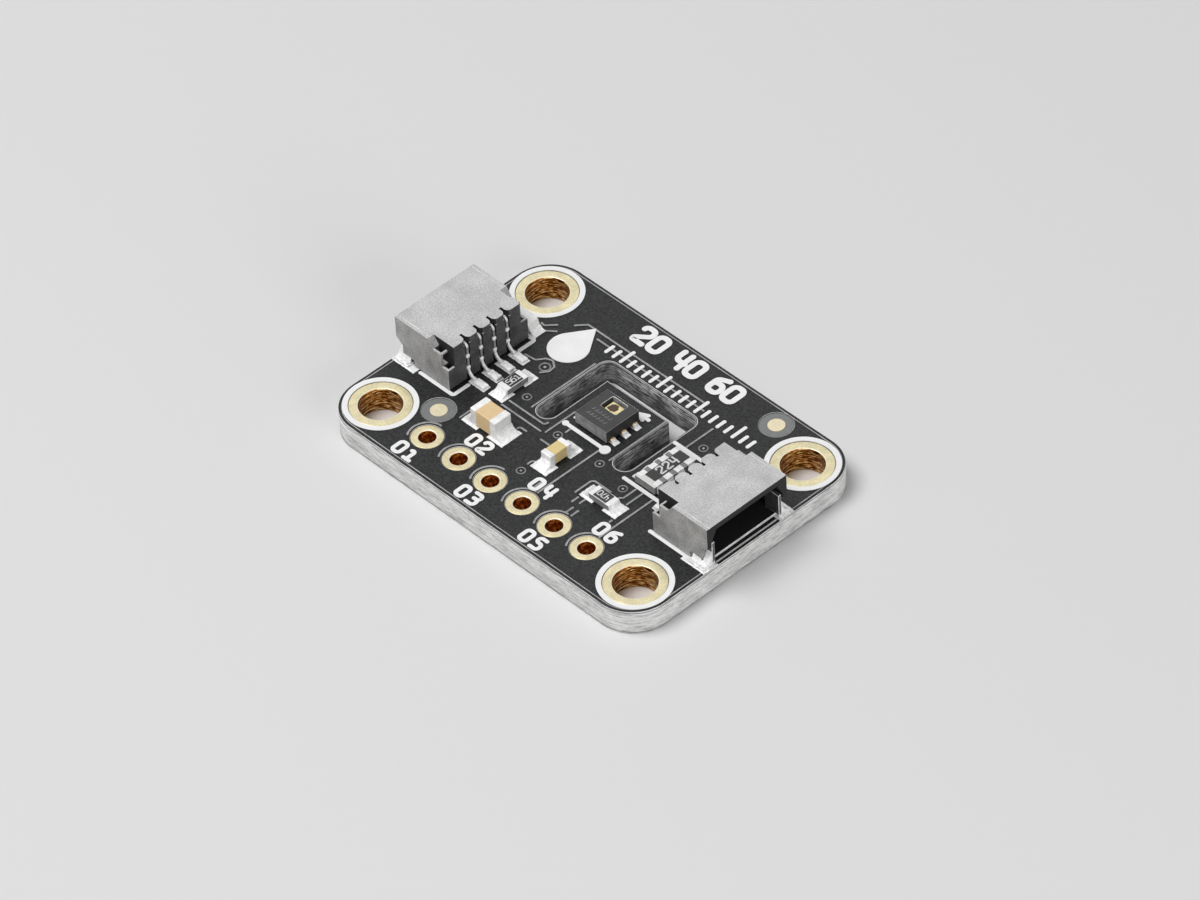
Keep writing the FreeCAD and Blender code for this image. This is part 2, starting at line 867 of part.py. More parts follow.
# Indicator lamp chip
base, lens, terminals = indicator()
save("indicator_base", turned(base, 0, indicator_x, indicator_y))
save("indicator_lens", turned(lens, 0, indicator_x, indicator_y))
for number, terminal in enumerate(terminals, 1):
    save("indicator_terminal_%d" % number, turned(terminal, 0, indicator_x, indicator_y))
indicator_joint = end_joint(
    indicator_pad_reach,
    indicator_pad_tuck,
    indicator_pad_width,
    indicator_width,
    indicator_base_height,
)
pair = joint_pair(indicator_length, indicator_joint)
save("solder_indicator", turned(pair, 0, indicator_x, indicator_y))
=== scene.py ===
import math

import bmesh
import bpy
from mathutils import Matrix, Vector, noise


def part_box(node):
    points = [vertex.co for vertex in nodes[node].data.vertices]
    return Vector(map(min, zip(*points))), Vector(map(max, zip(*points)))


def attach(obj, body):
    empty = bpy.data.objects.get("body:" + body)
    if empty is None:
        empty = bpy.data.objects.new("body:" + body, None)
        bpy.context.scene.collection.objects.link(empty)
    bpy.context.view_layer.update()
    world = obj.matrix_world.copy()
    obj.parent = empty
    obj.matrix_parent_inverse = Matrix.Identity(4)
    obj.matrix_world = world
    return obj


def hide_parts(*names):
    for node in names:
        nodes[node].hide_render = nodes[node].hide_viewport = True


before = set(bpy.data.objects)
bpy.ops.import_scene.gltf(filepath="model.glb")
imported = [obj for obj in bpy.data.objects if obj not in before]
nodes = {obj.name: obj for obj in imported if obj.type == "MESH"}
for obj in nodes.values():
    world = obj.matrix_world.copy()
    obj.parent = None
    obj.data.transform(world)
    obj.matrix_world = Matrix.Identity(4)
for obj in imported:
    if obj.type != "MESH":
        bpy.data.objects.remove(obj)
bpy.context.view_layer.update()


# Circuit board
# A sheet of glass-fibre laminate, routed to its outline, with black solder mask on both faces.
# The routed edges and the walls of the slot show the bare grey layers of glass cloth.
# The slot's walls are a darker copy of that cloth that darkens further towards the lower face:
# painted shade.
# The slot's rounded rim is painted pale: a painted highlight.
board_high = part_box("circuit_board")[1]
board_top = board_high.z * 1000
routed_edge_width = 0.055
recess_depth = 0.06
slot_share = 0.8
slot_half_width = 3.8
slot_ends_y = (-1.1, 5.0)
merge_distance = 0.0005
flat_angle = math.radians(1)
round_angle = math.radians(1.5)
sharp_angle = math.radians(30)
level_share = 0.95
noise_span = (0.3, 0.7)
darkest_shade = 0.05
layer_stretch = (1100, 1100, 13000)
layer_roughness = 0.62
strand_stretch = (4000, 4000, 24000)
strand_share = 0.45
laminate_roughness = 0.62
laminate_rise = 0.03
copper_line_depth = 0.095
copper_line_width = 0.06
copper_line_shade = 0.75
wander_scale = 800.0
wander_span = (0.35, 0.65)
mask_colour = (0.0135, 0.014, 0.015)
laminate_pale = (0.86, 0.86, 0.85)
laminate_dark = (0.40, 0.40, 0.40)
# The slot's cloth colours are a darker copy of the routed edge's: painted shade.
slot_shaded_pale = (0.72, 0.72, 0.72)
slot_shaded_dark = (0.02, 0.02, 0.02)
# The slot's rim colour is a painted highlight.
slot_rim_highlight_colour = (0.60, 0.60, 0.595)
bare_laminate_colour = (0.20, 0.205, 0.205)


def merged_copy(name):
    """A CAD node's shape in millimetres, with its loose triangles joined into whole faces."""
    shape = bmesh.new()
    shape.from_mesh(nodes[name].data)
    bmesh.ops.scale(shape, vec=(1000, 1000, 1000), verts=shape.verts)
    bmesh.ops.remove_doubles(shape, verts=shape.verts, dist=merge_distance)
    bmesh.ops.dissolve_limit(shape, angle_limit=flat_angle, verts=shape.verts, edges=shape.edges)
    return shape


def soften_edges(shape, width):
    """Rounds the sharp edges, shades the round faces smooth and marks the new rims with 1."""
    rim = shape.faces.layers.float.new("rim")
    sharp = []
    for edge in shape.edges:
        if len(edge.link_faces) != 2:
            continue
        angle = edge.calc_face_angle()
        if angle > sharp_angle:
            sharp.append(edge)
        elif angle > round_angle:
            for face in edge.link_faces:
                face.smooth = True
    rounded = bmesh.ops.bevel(
        shape, geom=sharp, offset=width, segments=2, profile=0.5, affect="EDGES", clamp_overlap=True
    )
    for face in rounded["faces"]:
        face.smooth = True
        face[rim] = 1.0
    return rim


def mesh_from(shape, name):
    """Turns a shape that is being worked on into a mesh and lets go of the shape."""
    mesh = bpy.data.meshes.new(name)
    shape.to_mesh(mesh)
    shape.free()
    return mesh


def finish_piece(name, mesh, materials, replaced=()):
    """Makes a mesh in millimetres into a finished piece in metres that rides on the board."""
    mesh.transform(Matrix.Scale(0.001, 4))
    for material in materials:
        mesh.materials.append(material)
    piece = bpy.data.objects.new(name, mesh)
    bpy.context.scene.collection.objects.link(piece)
    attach(piece, "root")
    if replaced:
        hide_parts(*replaced)


def softened_copy(name, node, materials, width, choose=None):
    """A CAD node's shape with its edges rounded; choose picks a face's material."""
    shape = merged_copy(node)
    rim = soften_edges(shape, width)
    shape.normal_update()
    if choose:
        for face in shape.faces:
            face.material_index = materials.index(choose(face, face[rim]))
    finish_piece(name, mesh_from(shape, name), materials, [node])


def add_node(tree, kind, inputs=None, **settings):
    """Adds a node with its settings; an input takes a value, or the output that feeds it."""
    node = tree.nodes.new(kind)
    for label, value in settings.items():
        setattr(node, label, value)
    for label, value in (inputs or {}).items():
        if isinstance(value, bpy.types.NodeSocket):
            tree.links.new(value, node.inputs[label])
        else:
            node.inputs[label].default_value = value
    return node


def math_node(tree, operation, *values):
    """The result of a Math node; each value is a number, or the output that feeds it."""
    return add_node(tree, "ShaderNodeMath", dict(enumerate(values)), operation=operation).outputs[0]


def map_range(tree, value, start, end, clamp=True):
    """A value carried from the range start to the range end."""
    inputs = {
        "Value": value,
        "From Min": start[0],
        "From Max": start[1],
        "To Min": end[0],
        "To Max": end[1],
    }
    return add_node(tree, "ShaderNodeMapRange", inputs, clamp=clamp).outputs["Result"]


def new_group(name, kind, inputs, outputs):
    """An empty node group with the given sockets, the outputs of its entry, and its exit."""
    group = bpy.data.node_groups.new(name, kind)
    for way, sockets in (("INPUT", inputs), ("OUTPUT", outputs)):
        for label, socket in sockets.items():
            group.interface.new_socket(label, in_out=way, socket_type="NodeSocket" + socket)
    return group, add_node(group, "NodeGroupInput").outputs, add_node(group, "NodeGroupOutput")


def grain_group():
    """Fine grain and larger blotches, sized in millimetres, as a shade and a height."""
    labels = ("Grain Size", "Blotch Size", "Grain Swing", "Blotch Swing")
    results = {"Shade": "Float", "Height": "Float"}
    group, entry, leave = new_group(
        "Surface Grain", "ShaderNodeTree", dict.fromkeys(labels, "Float"), results
    )
    place = add_node(group, "ShaderNodeTexCoord").outputs["Object"]
    shades = []
    heights = []
    for kind, detail in (("Grain", 2.0), ("Blotch", 3.0)):
        scale = math_node(group, "DIVIDE", 1000.0, entry[kind + " Size"])
        inputs = {"Vector": place, "Scale": scale, "Detail": detail}
        height = add_node(group, "ShaderNodeTexNoise", inputs).outputs["Fac"]
        centred = map_range(group, height, noise_span, (-1.0, 1.0), clamp=False)
        shades.append(math_node(group, "MULTIPLY_ADD", centred, entry[kind + " Swing"], 1.0))
        heights.append(height)
    both = math_node(group, "MULTIPLY", *shades)
    group.links.new(math_node(group, "MAXIMUM", both, darkest_shade), leave.inputs["Shade"])
    group.links.new(heights[0], leave.inputs["Height"])
    return group


surface_grain = grain_group()


def plain_material(name, inputs):
    """A material with a Principled shader, some of whose inputs are set."""
    material = bpy.data.materials.new(name)
    material.use_nodes = True
    tree = material.node_tree
    tree.nodes.clear()
    shader = add_node(tree, "ShaderNodeBsdfPrincipled", inputs)
    add_node(tree, "ShaderNodeOutputMaterial", {"Surface": shader.outputs["BSDF"]})
    return material, tree, shader


def tinted(tree, colour, shade):
    """A colour times a shade."""
    inputs = {0: colour, "Scale": shade}
    return add_node(tree, "ShaderNodeVectorMath", inputs, operation="SCALE").outputs["Vector"]


def finish_shader(tree, shader, colour, height, rise):
    """Gives a shader its colour, and a bump of the given rise in millimetres."""
    relief = add_node(tree, "ShaderNodeBump", {"Height": height, "Distance": rise / 1000})
    tree.links.new(colour, shader.inputs["Base Color"])
    tree.links.new(relief.outputs["Normal"], shader.inputs["Normal"])


def grained_material(
    name, colour, roughness, grain, blotch, swings, bump, metallic=0.0, specular=0.5
):
    """One colour with grain and blotches of the given sizes and swings, and a bump of the grain."""
    finish = {"Roughness": roughness, "Metallic": metallic, "Specular IOR Level": specular}
    material, tree, shader = plain_material(name, finish)
    inputs = {
        "Grain Size": grain,
        "Blotch Size": blotch,
        "Grain Swing": swings[0],
        "Blotch Swing": swings[1],
    }
    surface = add_node(tree, "ShaderNodeGroup", inputs, node_tree=surface_grain).outputs
    shaded = tinted(tree, colour, surface["Shade"])
    finish_shader(tree, shader, shaded, surface["Height"], bump)
    return material


def stretched_noise(tree, place, stretch, inputs, turn=0.0):
    """Noise on coordinates that are stretched by a factor for each axis, and turned."""
    moved = {"Vector": place, "Scale": stretch, "Rotation": (0, 0, turn)}
    spread = add_node(tree, "ShaderNodeMapping", moved).outputs["Vector"]
    texture = {"Vector": spread, "Scale": 1.0, **inputs}
    return add_node(tree, "ShaderNodeTexNoise", texture).outputs["Fac"]


def colour_ramp(tree, value, stops):
    """Turns a value into a colour, by stops of a place and a colour, with the two ends first."""
    ramp = add_node(tree, "ShaderNodeValToRGB", {"Fac": value})
    elements = ramp.color_ramp.elements
    for index, (place, colour) in enumerate(stops):
        stop = elements[index] if index < 2 else elements.new(place)
        stop.position = place
        stop.color = (*colour, 1)
    return ramp.outputs["Color"]


def laminate_material(name, dark, pale, low, high, foot_shade, patch_swing):
    """Routed glass cloth: fine layers along the edge, with a dark line under each face's copper.

    The foot shade is painted shade: it darkens the layers evenly towards the lower face.
    The patch swing is how far the shade wanders along the edge.
    """
    material, tree, shader = plain_material(name, {"Roughness": laminate_roughness})
    place = add_node(tree, "ShaderNodeTexCoord").outputs["Object"]
    uneven = {"Detail": 4.0, "Roughness": layer_roughness}
    layers = stretched_noise(tree, place, layer_stretch, uneven)
    strands = stretched_noise(tree, place, strand_stretch, {"Detail": 3.0})
    cloth = math_node(tree, "MULTIPLY_ADD", strands, strand_share, layers)
    colour = colour_ramp(tree, cloth, ((low, dark), (high, pale)))
    level = add_node(tree, "ShaderNodeSeparateXYZ", {"Vector": place}).outputs["Z"]
    depth = map_range(tree, level, (0, board_high.z), (foot_shade, 1))
    half = board_high.z / 2
    away = math_node(tree, "ABSOLUTE", math_node(tree, "SUBTRACT", level, half))
    line_place = half - copper_line_depth / 1000
    line = math_node(tree, "COMPARE", away, line_place, copper_line_width / 2000)
    lined = math_node(tree, "MULTIPLY_ADD", line, -copper_line_shade, 1.0)
    wander = add_node(tree, "ShaderNodeTexNoise", {"Vector": place, "Scale": wander_scale})
    swing = (1 - patch_swing, 1 + patch_swing)
    patches = map_range(tree, wander.outputs["Fac"], wander_span, swing)
    shade = math_node(tree, "MULTIPLY", math_node(tree, "MULTIPLY", depth, patches), lined)
    finish_shader(tree, shader, tinted(tree, colour, shade), cloth, laminate_rise)
    return material


def near_slot(place):
    """Whether a place lies in the part of the board that holds the slot."""
    return abs(place.x) < slot_half_width and slot_ends_y[0] < place.y < slot_ends_y[1]


solder_mask = grained_material(
    "black_solder_mask", mask_colour, roughness=0.5, grain=0.13, blotch=1.6, swings=(1.1, 0.2),
    bump=0.03, specular=0.3,
)
routed_laminate = laminate_material(
    "routed_laminate", laminate_dark, laminate_pale, low=0.55, high=0.80, foot_shade=0.95,
    patch_swing=0.08,
)
# The slot's walls: the darker copy of the cloth, darkening strongly towards the lower face, as
# painted shade.
shaded_slot_laminate = laminate_material(
    "shaded_slot_laminate", slot_shaded_dark, slot_shaded_pale, low=0.62, high=0.80, foot_shade=0.12, patch_swing=0.75,
)
bare_laminate = grained_material(
    "bare_laminate", bare_laminate_colour, roughness=0.5, grain=0.09, blotch=0.5,
    swings=(0.1, 0.05), bump=0.006,
)
# The slot's rim and the line round it are painted pale: a painted highlight.
slot_rim_highlight = grained_material(
    "slot_rim_highlight", slot_rim_highlight_colour, roughness=0.5, grain=0.1, blotch=0.5, swings=(0.1, 0.1), bump=0.004
)


def board_finish(face, rim):
    """Mask on the faces, bare laminate in their openings, and cloth layers on what was routed.

    The slot's walls take the darker cloth of painted shade, and its rim a painted highlight.
    """
    heights = [corner.co.z for corner in face.verts]
    tall = max(heights) - min(heights) > 2 * recess_depth
    middle = sum(heights) / len(heights)
    sunk = recess_depth / 3 < min(board_top - middle, middle) < recess_depth
    centre = face.calc_center_median()
    inner = (
        abs(centre.x) < slot_share * board_high.x * 1000
        and abs(centre.y) < slot_share * board_high.y * 1000
    )
    # The slot's rounded rim is painted pale: a painted highlight.
    if rim > 0.5 and near_slot(centre) and centre.z > board_top - recess_depth:
        return slot_rim_highlight
    if abs(face.normal.z) > level_share:
        return bare_laminate if sunk else solder_mask
    # Tall walls inside the board are the slot's, and get the darker cloth of painted shade.
    if tall or not sunk:
        return shaded_slot_laminate if inner and tall else routed_laminate
    return solder_mask


softened_copy(
    "board_laminate",
    "circuit_board",
    [solder_mask, routed_laminate, bare_laminate, shaded_slot_laminate, slot_rim_highlight],
    routed_edge_width,
    board_finish,
)


# Copper tracks
# Etched copper lines between pins and parts, which show as low ridges under the black mask.
# Their grey is a painted highlight for the light their raised edges catch.
# Each line is a list of places in millimetres, and a grey arc beside each pin is a painted highlight
# on the edge of the mask round it.
track_width = 0.12
track_height = 0.03
track_crown = 0.6
track_bend = 0.18
cap_rise = 0.0008
line_stagger = 0.0016
stagger_steps = 5
corner_steps = 6
cap_sides = 24
pin_arc_radius = 1.12
pin_arc_angles = (95, 215)
pin_arc_steps = 16
track_highlight_colour = (0.34, 0.34, 0.34)
track_lines = [
    [(-3.9, 4.08), (-3.9, -0.72)],
    [(-1.87, 0.62), (-1.87, -1.6)],
    [(-1.62, -2.2), (-1.0, -2.2)],
    [(2.32, 3.52), (2.32, -0.75)],
    [(-5.14, -1.25), (-2.33, -1.25), (-2.33, -1.0)],
    [(-5.25, -1.75), (-2.15, -1.75)],
    [(-3.23, -2.45), (-3.15, -2.3), (-2.7, -2.3)],
    [(-6.16, -3.25), (-6.16, -4.05)],
    [(-0.73, -4.02), (-0.73, -3.68), (-0.45, -3.62)],
    [(-1.05, -0.48), (-1.05, -0.85)],
    [(1.32, -0.65), (1.32, -5.2)],
    [(0.86, -4.35), (0.86, -5.2)],
    [(5.02, -1.35), (5.02, -2.3), (4.85, -2.44)],
    [(5.53, -1.35), (5.53, -2.52)],
    [(6.29, -1.35), (6.29, -5.3)],
    [(4.15, -2.44), (2.92, -2.44), (2.77, -2.6), (2.77, -3.75)],
    [(3.18, -3.95), (3.18, -4.4)],
    [(3.59, -3.78), (3.59, -4.2)],
    [(3.56, -4.7), (3.56, -5.2)],
    [(3.97, -4.7), (3.97, -5.2)],
    [(5.82, -3.95), (5.82, -4.1)],
    [(4.61, 4.9), (4.61, 2.88)],
    [(-7.0, 5.5), (-6.5, 6.05), (3.0, 6.05)],
    [(-5.25, 5.57), (3.2, 5.57)],
    [(-8.5, 4.35), (-8.25, 4.3), (-7.75, 4.85)],
    [(-7.9, 4.05), (-7.4, 4.45)],
    [(-7.3, 1.95), (-6.55, 2.02), (-6.2, 2.5), (-5.8, 2.66), (-5.35, 2.35), (-5.3, 1.9), (-5.6, 1.5)],
]


def close_tree(tree, geometry, material, leave):
    """Ends a Geometry Nodes tree with real geometry in place of instances, and its material."""
    real = add_node(tree, "GeometryNodeRealizeInstances", {"Geometry": geometry}).outputs[0]
    inputs = {"Geometry": real, "Material": material}
    finish = add_node(tree, "GeometryNodeSetMaterial", inputs).outputs["Geometry"]
    tree.links.new(finish, leave.inputs["Geometry"])


def raised_line_tree():
    """Follows the edges of a mesh with a low line of given width, with round ends."""
    sizes = dict.fromkeys(("Width", "Height", "Crown", "Corner Radius"), "Float")
    sockets = {"Geometry": "Geometry", **sizes, "Material": "Material"}
    tree, entry, leave = new_group(
        "Raised Line", "GeometryNodeTree", sockets, {"Geometry": "Geometry"}
    )
    curve = add_node(tree, "GeometryNodeMeshToCurve", {"Mesh": entry["Geometry"]}).outputs["Curve"]
    corners = {
        "Curve": curve,
        "Radius": entry["Corner Radius"],
        "Count": corner_steps,
        "Limit Radius": True,
    }
    bent = add_node(tree, "GeometryNodeFilletCurve", corners, mode="POLY").outputs["Curve"]
    upright = add_node(tree, "GeometryNodeSetCurveNormal", {"Curve": bent}, mode="Z_UP")
    path = upright.outputs["Curve"]
    outline = {
        "Bottom Width": entry["Width"],
        "Top Width": math_node(tree, "MULTIPLY", entry["Width"], entry["Crown"]),
        "Height": entry["Height"],
        "Offset": 0.0,
    }
    section = add_node(
        tree, "GeometryNodeCurvePrimitiveQuadrilateral", outline, mode="TRAPEZOID"
    ).outputs["Curve"]
    swept = {"Curve": path, "Profile Curve": section, "Fill Caps": True}
    sweep = add_node(tree, "GeometryNodeCurveToMesh", swept).outputs["Mesh"]
    ends = add_node(tree, "GeometryNodeCurveEndpointSelection").outputs["Selection"]
    ring = add_node(tree, "GeometryNodeInputSplineCyclic").outputs["Cyclic"]
    opened = add_node(tree, "FunctionNodeBooleanMath", {0: ends, 1: ring}, operation="NIMPLY")
    round_end = {
        "Vertices": cap_sides,
        "Radius": math_node(tree, "MULTIPLY", entry["Width"], 0.5),
        "Depth": math_node(tree, "ADD", entry["Height"], cap_rise),
    }
    disc = add_node(tree, "GeometryNodeMeshCylinder", round_end).outputs["Mesh"]
    spread = {"Points": path, "Selection": opened.outputs[0], "Instance": disc}
    caps = add_node(tree, "GeometryNodeInstanceOnPoints", spread).outputs["Instances"]
    join = add_node(tree, "GeometryNodeJoinGeometry")
    for part in (sweep, caps):
        tree.links.new(part, join.inputs["Geometry"])
    close_tree(tree, join.outputs["Geometry"], entry["Material"], leave)
    return tree


raised_line = raised_line_tree()


def grown_mesh(name, mesh, tree, values):
    """The plain mesh that a Geometry Nodes tree makes from a mesh and named values."""
    carrier = bpy.data.objects.new(name, mesh)
    bpy.context.scene.collection.objects.link(carrier)
    modifier = carrier.modifiers.new(name, "NODES")
    modifier.node_group = tree
    for item in tree.interface.items_tree:
        if item.in_out == "INPUT" and item.name in values:
            modifier[item.identifier] = values[item.name]
    evaluated = carrier.evaluated_get(bpy.context.evaluated_depsgraph_get())
    grown = bpy.data.meshes.new_from_object(evaluated)
    grown.name = name
    carrier.modifiers.remove(modifier)
    bpy.data.objects.remove(carrier)
    bpy.data.meshes.remove(mesh)
    return grown


def line_piece(
    name, lines, width, height, material, base=board_top, crown=0.9, bend=0.0
):
    """Raised lines along lists of places, on the height base; a list that comes back closes.

    The crown is the share of the width that is left on top, and the bend rounds the corners.
    Lines that cross lie at slightly different heights, so that their tops don't coincide.
    """
    places = []
    edges = []
    for index, line in enumerate(lines):
        first = len(places)
        closed = line[0] == line[-1]
        if closed:
            line = line[:-1]
        middle = base + height / 2 + line_stagger * (index % stagger_steps)
        places += [(x, y, middle) for x, y in line]
        edges += [(first + step, first + step + 1) for step in range(len(line) - 1)]
        if closed:
            edges.append((first + len(line) - 1, first))
    guide = bpy.data.meshes.new(name + "_guide")
    guide.from_pydata(places, edges, [])
    values = {
        "Width": width,
        "Height": height,
        "Crown": crown,
        "Corner Radius": bend,
        "Material": material,
    }
    mesh = grown_mesh(name, guide, raised_line, values)
    for polygon in mesh.polygons:
        polygon.use_smooth = False
    finish_piece(name, mesh, [])


def node_centre(name):
    """The middle of a CAD node in the plane of the board, in millimetres."""
    low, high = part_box(name)
    return (low.x + high.x) * 500, (low.y + high.y) * 500


def arc_line(x, y, radius, start, end, steps):
    """Places along an arc between two angles in degrees; a whole turn comes back to its start."""
    angles = [math.radians(start + (end - start) * index / steps) for index in range(steps)]
    line = [(x + radius * math.cos(angle), y + radius * math.sin(angle)) for angle in angles]
    if end - start == 360:
        return line + line[:1]
    last = math.radians(end)
    return line + [(x + radius * math.cos(last), y + radius * math.sin(last))]


# A grey arc beside each pin: a painted highlight on the edge of the mask.
for number in range(1, 7):
    x, y = node_centre("pin_hole_plating_%d" % number)
    track_lines.append(arc_line(x, y, pin_arc_radius, *pin_arc_angles, pin_arc_steps))
# The grey of the ridges is a painted highlight.
track_highlight = grained_material(
    "painted_track_highlight", track_highlight_colour, roughness=0.4, grain=0.08, blotch=0.8, swings=(0.25, 0.2),
    bump=0.004,
)
line_piece(
    "copper_tracks",
    track_lines,
    track_width,
    track_height,
    track_highlight,
    crown=track_crown,
    bend=track_bend,
)


# Slot rim and copper border
# A pale line runs round the slot just inside its upper edge: a painted highlight where the edge
# catches the light.
# The copper under the mask ends a little inside the board's edge, and the light its step catches is
# painted as a grey line: a painted highlight.
slot_line_width = 0.05
slot_line_inset = 0.08
slot_line_height = 0.006
border_width = 0.06
border_inset = 0.2
border_height = 0.014
border_highlight_colour = (0.42, 0.42, 0.42)


def upper_outline(round_slot, inset):
    """The upper edge of the slot or of the board as a closed line, moved in onto the board."""
    shape = merged_copy("circuit_board")
    onward = {}
    for edge in shape.edges:
        heights = [corner.co.z for face in edge.link_faces for corner in face.verts]
        at_top = min(corner.co.z for corner in edge.verts) > board_top - recess_depth / 2
        routed = min(heights) < board_top - 2 * recess_depth
        middle = (edge.verts[0].co + edge.verts[1].co) / 2
        if at_top and routed and near_slot(middle) == round_slot:
            for here, there in (edge.verts, reversed(edge.verts)):
                onward.setdefault(here, []).append(there)
    here = next(iter(onward))
    walked = [here]
    while True:
        ahead = [corner for corner in onward[here] if corner not in walked]
        if not ahead:
            break
        here = ahead[0]
        walked.append(here)
    area = 0.0
    for here, there in zip(walked, walked[1:] + walked[:1]):
        area += here.co.x * there.co.y - there.co.x * here.co.y
    out = inset if (area > 0) == round_slot else -inset
    line = []
    for index, corner in enumerate(walked):
        ahead = walked[(index + 1) % len(walked)].co - corner.co
        behind = corner.co - walked[index - 1].co
        along = (ahead.normalized() + behind.normalized()).normalized()
        line.append((corner.co.x + out * along.y, corner.co.y - out * along.x))
    shape.free()
    return line + line[:1]


# The pale line round the slot: a painted highlight.
slot_edge = upper_outline(True, slot_line_inset)
line_piece("slot_line", [slot_edge], slot_line_width, slot_line_height, slot_rim_highlight)
# The grey of the copper border is a painted highlight.
border_highlight = grained_material(
    "painted_border_highlight", border_highlight_colour, roughness=0.4, grain=0.08, blotch=1.2, swings=(0.2, 0.25),
    bump=0.004,
)
board_edge = upper_outline(False, border_inset)
line_piece(
    "copper_border", [board_edge], border_width, border_height, border_highlight, crown=track_crown
)


# Vias
# Small drilled and plated holes that carry a track to the other face, tented with mask.
# Each shows as a raised ring, painted grey as a highlight, round a black disc painted as the shade of
# a shallow dimple, with a pale dot at its middle as a painted glint.
# A via is listed by its place in millimetres and its size as a share of the usual one.
via_places = [
    (-5.75, 2.0, 1.25),
    (-4.7, -0.36, 1.0),
    (-1.23, -1.29, 1.0),
    (2.1, -1.29, 1.0),
    (4.45, -1.79, 1.0),
    (-0.64, -4.64, 1.0),
    (5.34, 3.48, 1.0),
]
via_radius = 0.25
via_rim = 0.04
via_relief = 0.03
via_sides = 32
rim_sides = 8
disc_sides = 24
# The black disc is painted shade, the pale dot a painted glint, and the ring's grey a painted
# highlight.
dimple_shade_radius = 0.19
dimple_shade_rise = 0.004
via_glint_radius = 0.07
via_glint_rise = 0.008
via_glint_colour = (0.40, 0.40, 0.40)
via_ring_highlight_colour = (0.24, 0.24, 0.24)
dimple_shade_colour = (0.006, 0.006, 0.006)


def via_tree():
    """Puts a flat ring on every point, scaled by the point's own size."""
    sizes = dict.fromkeys(("Radius", "Rim", "Relief"), "Float")
    sockets = {"Geometry": "Geometry", **sizes, "Material": "Material"}
    tree, entry, leave = new_group(
        "Tented Via", "GeometryNodeTree", sockets, {"Geometry": "Geometry"}
    )
    circles = []
    for label, steps in (("Radius", via_sides), ("Rim", rim_sides)):
        inputs = {"Radius": entry[label], "Resolution": steps}
        circle = add_node(tree, "GeometryNodeCurvePrimitiveCircle", inputs)
        circles.append(circle.outputs["Curve"])
    swept = {"Curve": circles[0], "Profile Curve": circles[1]}
    ring = add_node(tree, "GeometryNodeCurveToMesh", swept).outputs["Mesh"]
    relief = math_node(tree, "DIVIDE", entry["Relief"], entry["Rim"])
    squash = add_node(tree, "ShaderNodeCombineXYZ", {"X": 1.0, "Y": 1.0, "Z": relief})
    flattened = {"Geometry": ring, "Scale": squash.outputs["Vector"]}
    flat = add_node(tree, "GeometryNodeTransform", flattened).outputs["Geometry"]
    size = add_node(tree, "GeometryNodeInputNamedAttribute", {"Name": "size"}, data_type="FLOAT")
    spread = {"Points": entry["Geometry"], "Instance": flat, "Scale": size.outputs["Attribute"]}
    rings = add_node(tree, "GeometryNodeInstanceOnPoints", spread).outputs["Instances"]
    close_tree(tree, rings, entry["Material"], leave)
    return tree


def patch_piece(name, patches, material):
    """Thin flat patches, each an outline that is raised by a height from a base."""
    shape = bmesh.new()
    for outline, base, height in patches:
        corners = [shape.verts.new((x, y, base)) for x, y in outline]
        grown = bmesh.ops.extrude_face_region(shape, geom=[shape.faces.new(corners)])
        raised = [item for item in grown["geom"] if isinstance(item, bmesh.types.BMVert)]
        bmesh.ops.translate(shape, vec=(0, 0, height), verts=raised)
    bmesh.ops.recalc_face_normals(shape, faces=shape.faces)
    finish_piece(name, mesh_from(shape, name), [material])


# The grey of the via rings is a painted highlight.
via_ring_highlight = grained_material(
    "painted_via_ring_highlight", via_ring_highlight_colour, roughness=0.4, grain=0.08, blotch=0.4, swings=(0.35, 0.3),
    bump=0.004,
)
via_points = bpy.data.meshes.new("via_points")
via_points.from_pydata(
    [(x, y, z) for z in (board_top, via_relief / 2) for x, y, size in via_places], [], []
)
via_sizes = via_points.attributes.new("size", "FLOAT", "POINT")
for index, point in enumerate(via_sizes.data):
    point.value = via_places[index % len(via_places)][2]
vias = grown_mesh(
    "tented_vias",
    via_points,
    via_tree(),
    {"Radius": via_radius, "Rim": via_rim, "Relief": via_relief, "Material": via_ring_highlight},
)
for polygon in vias.polygons:
    polygon.use_smooth = True
finish_piece("tented_vias", vias, [])

# A black disc of painted shade in each via, with a pale painted glint at its middle, on both faces.
dimple_shade = grained_material(
    "via_dimple_shade", dimple_shade_colour, roughness=0.4, grain=0.06, blotch=0.4, swings=(0.3, 0.3),
    bump=0.004, specular=0.3,
)
via_glint = grained_material(
    "via_centre_glint", via_glint_colour, roughness=0.4, grain=0.04, blotch=0.4, swings=(0.3, 0.3), bump=0.002
)
for name, radius, rise, material in (
    ("via_dimple_shades", dimple_shade_radius, dimple_shade_rise, dimple_shade),
    ("via_centre_glints", via_glint_radius, via_glint_rise, via_glint),
):
    discs = []
    for x, y, size in via_places:
        outline = arc_line(x, y, size * radius, 0, 360, disc_sides)[:-1]
        discs += [(outline, board_top, rise), (outline, -rise, rise)]
    patch_piece(name, discs, material)


# Plated holes
# Copper flanges and barrels, plated with nickel and a thin layer of gold.
# The barrels keep the rough wall that the drill left, painted in a random pattern with dark amber
# shade in its hollows and bright glints in rows round the wall.
# The round lips of the holes are painted a paler gold: a painted highlight.
lip_radius = 0.08
flange_edge_radius = 0.03
barrel_wall = 0.035
flange_thickness = 0.05
barrel_reach = lip_radius / 5
lip_highlight_reach = lip_radius * 1.05
lip_step_angle = 15
hole_sides = 72
barrel_rise = 0.06
# The barrel's ramp runs from painted shade in the hollows, through the wall's colour, to painted
# glints.
hollow_shade_place = 0.42
wall_place = 0.52
glint_place = 0.61
ring_gold_colour = (0.76, 0.68, 0.43)
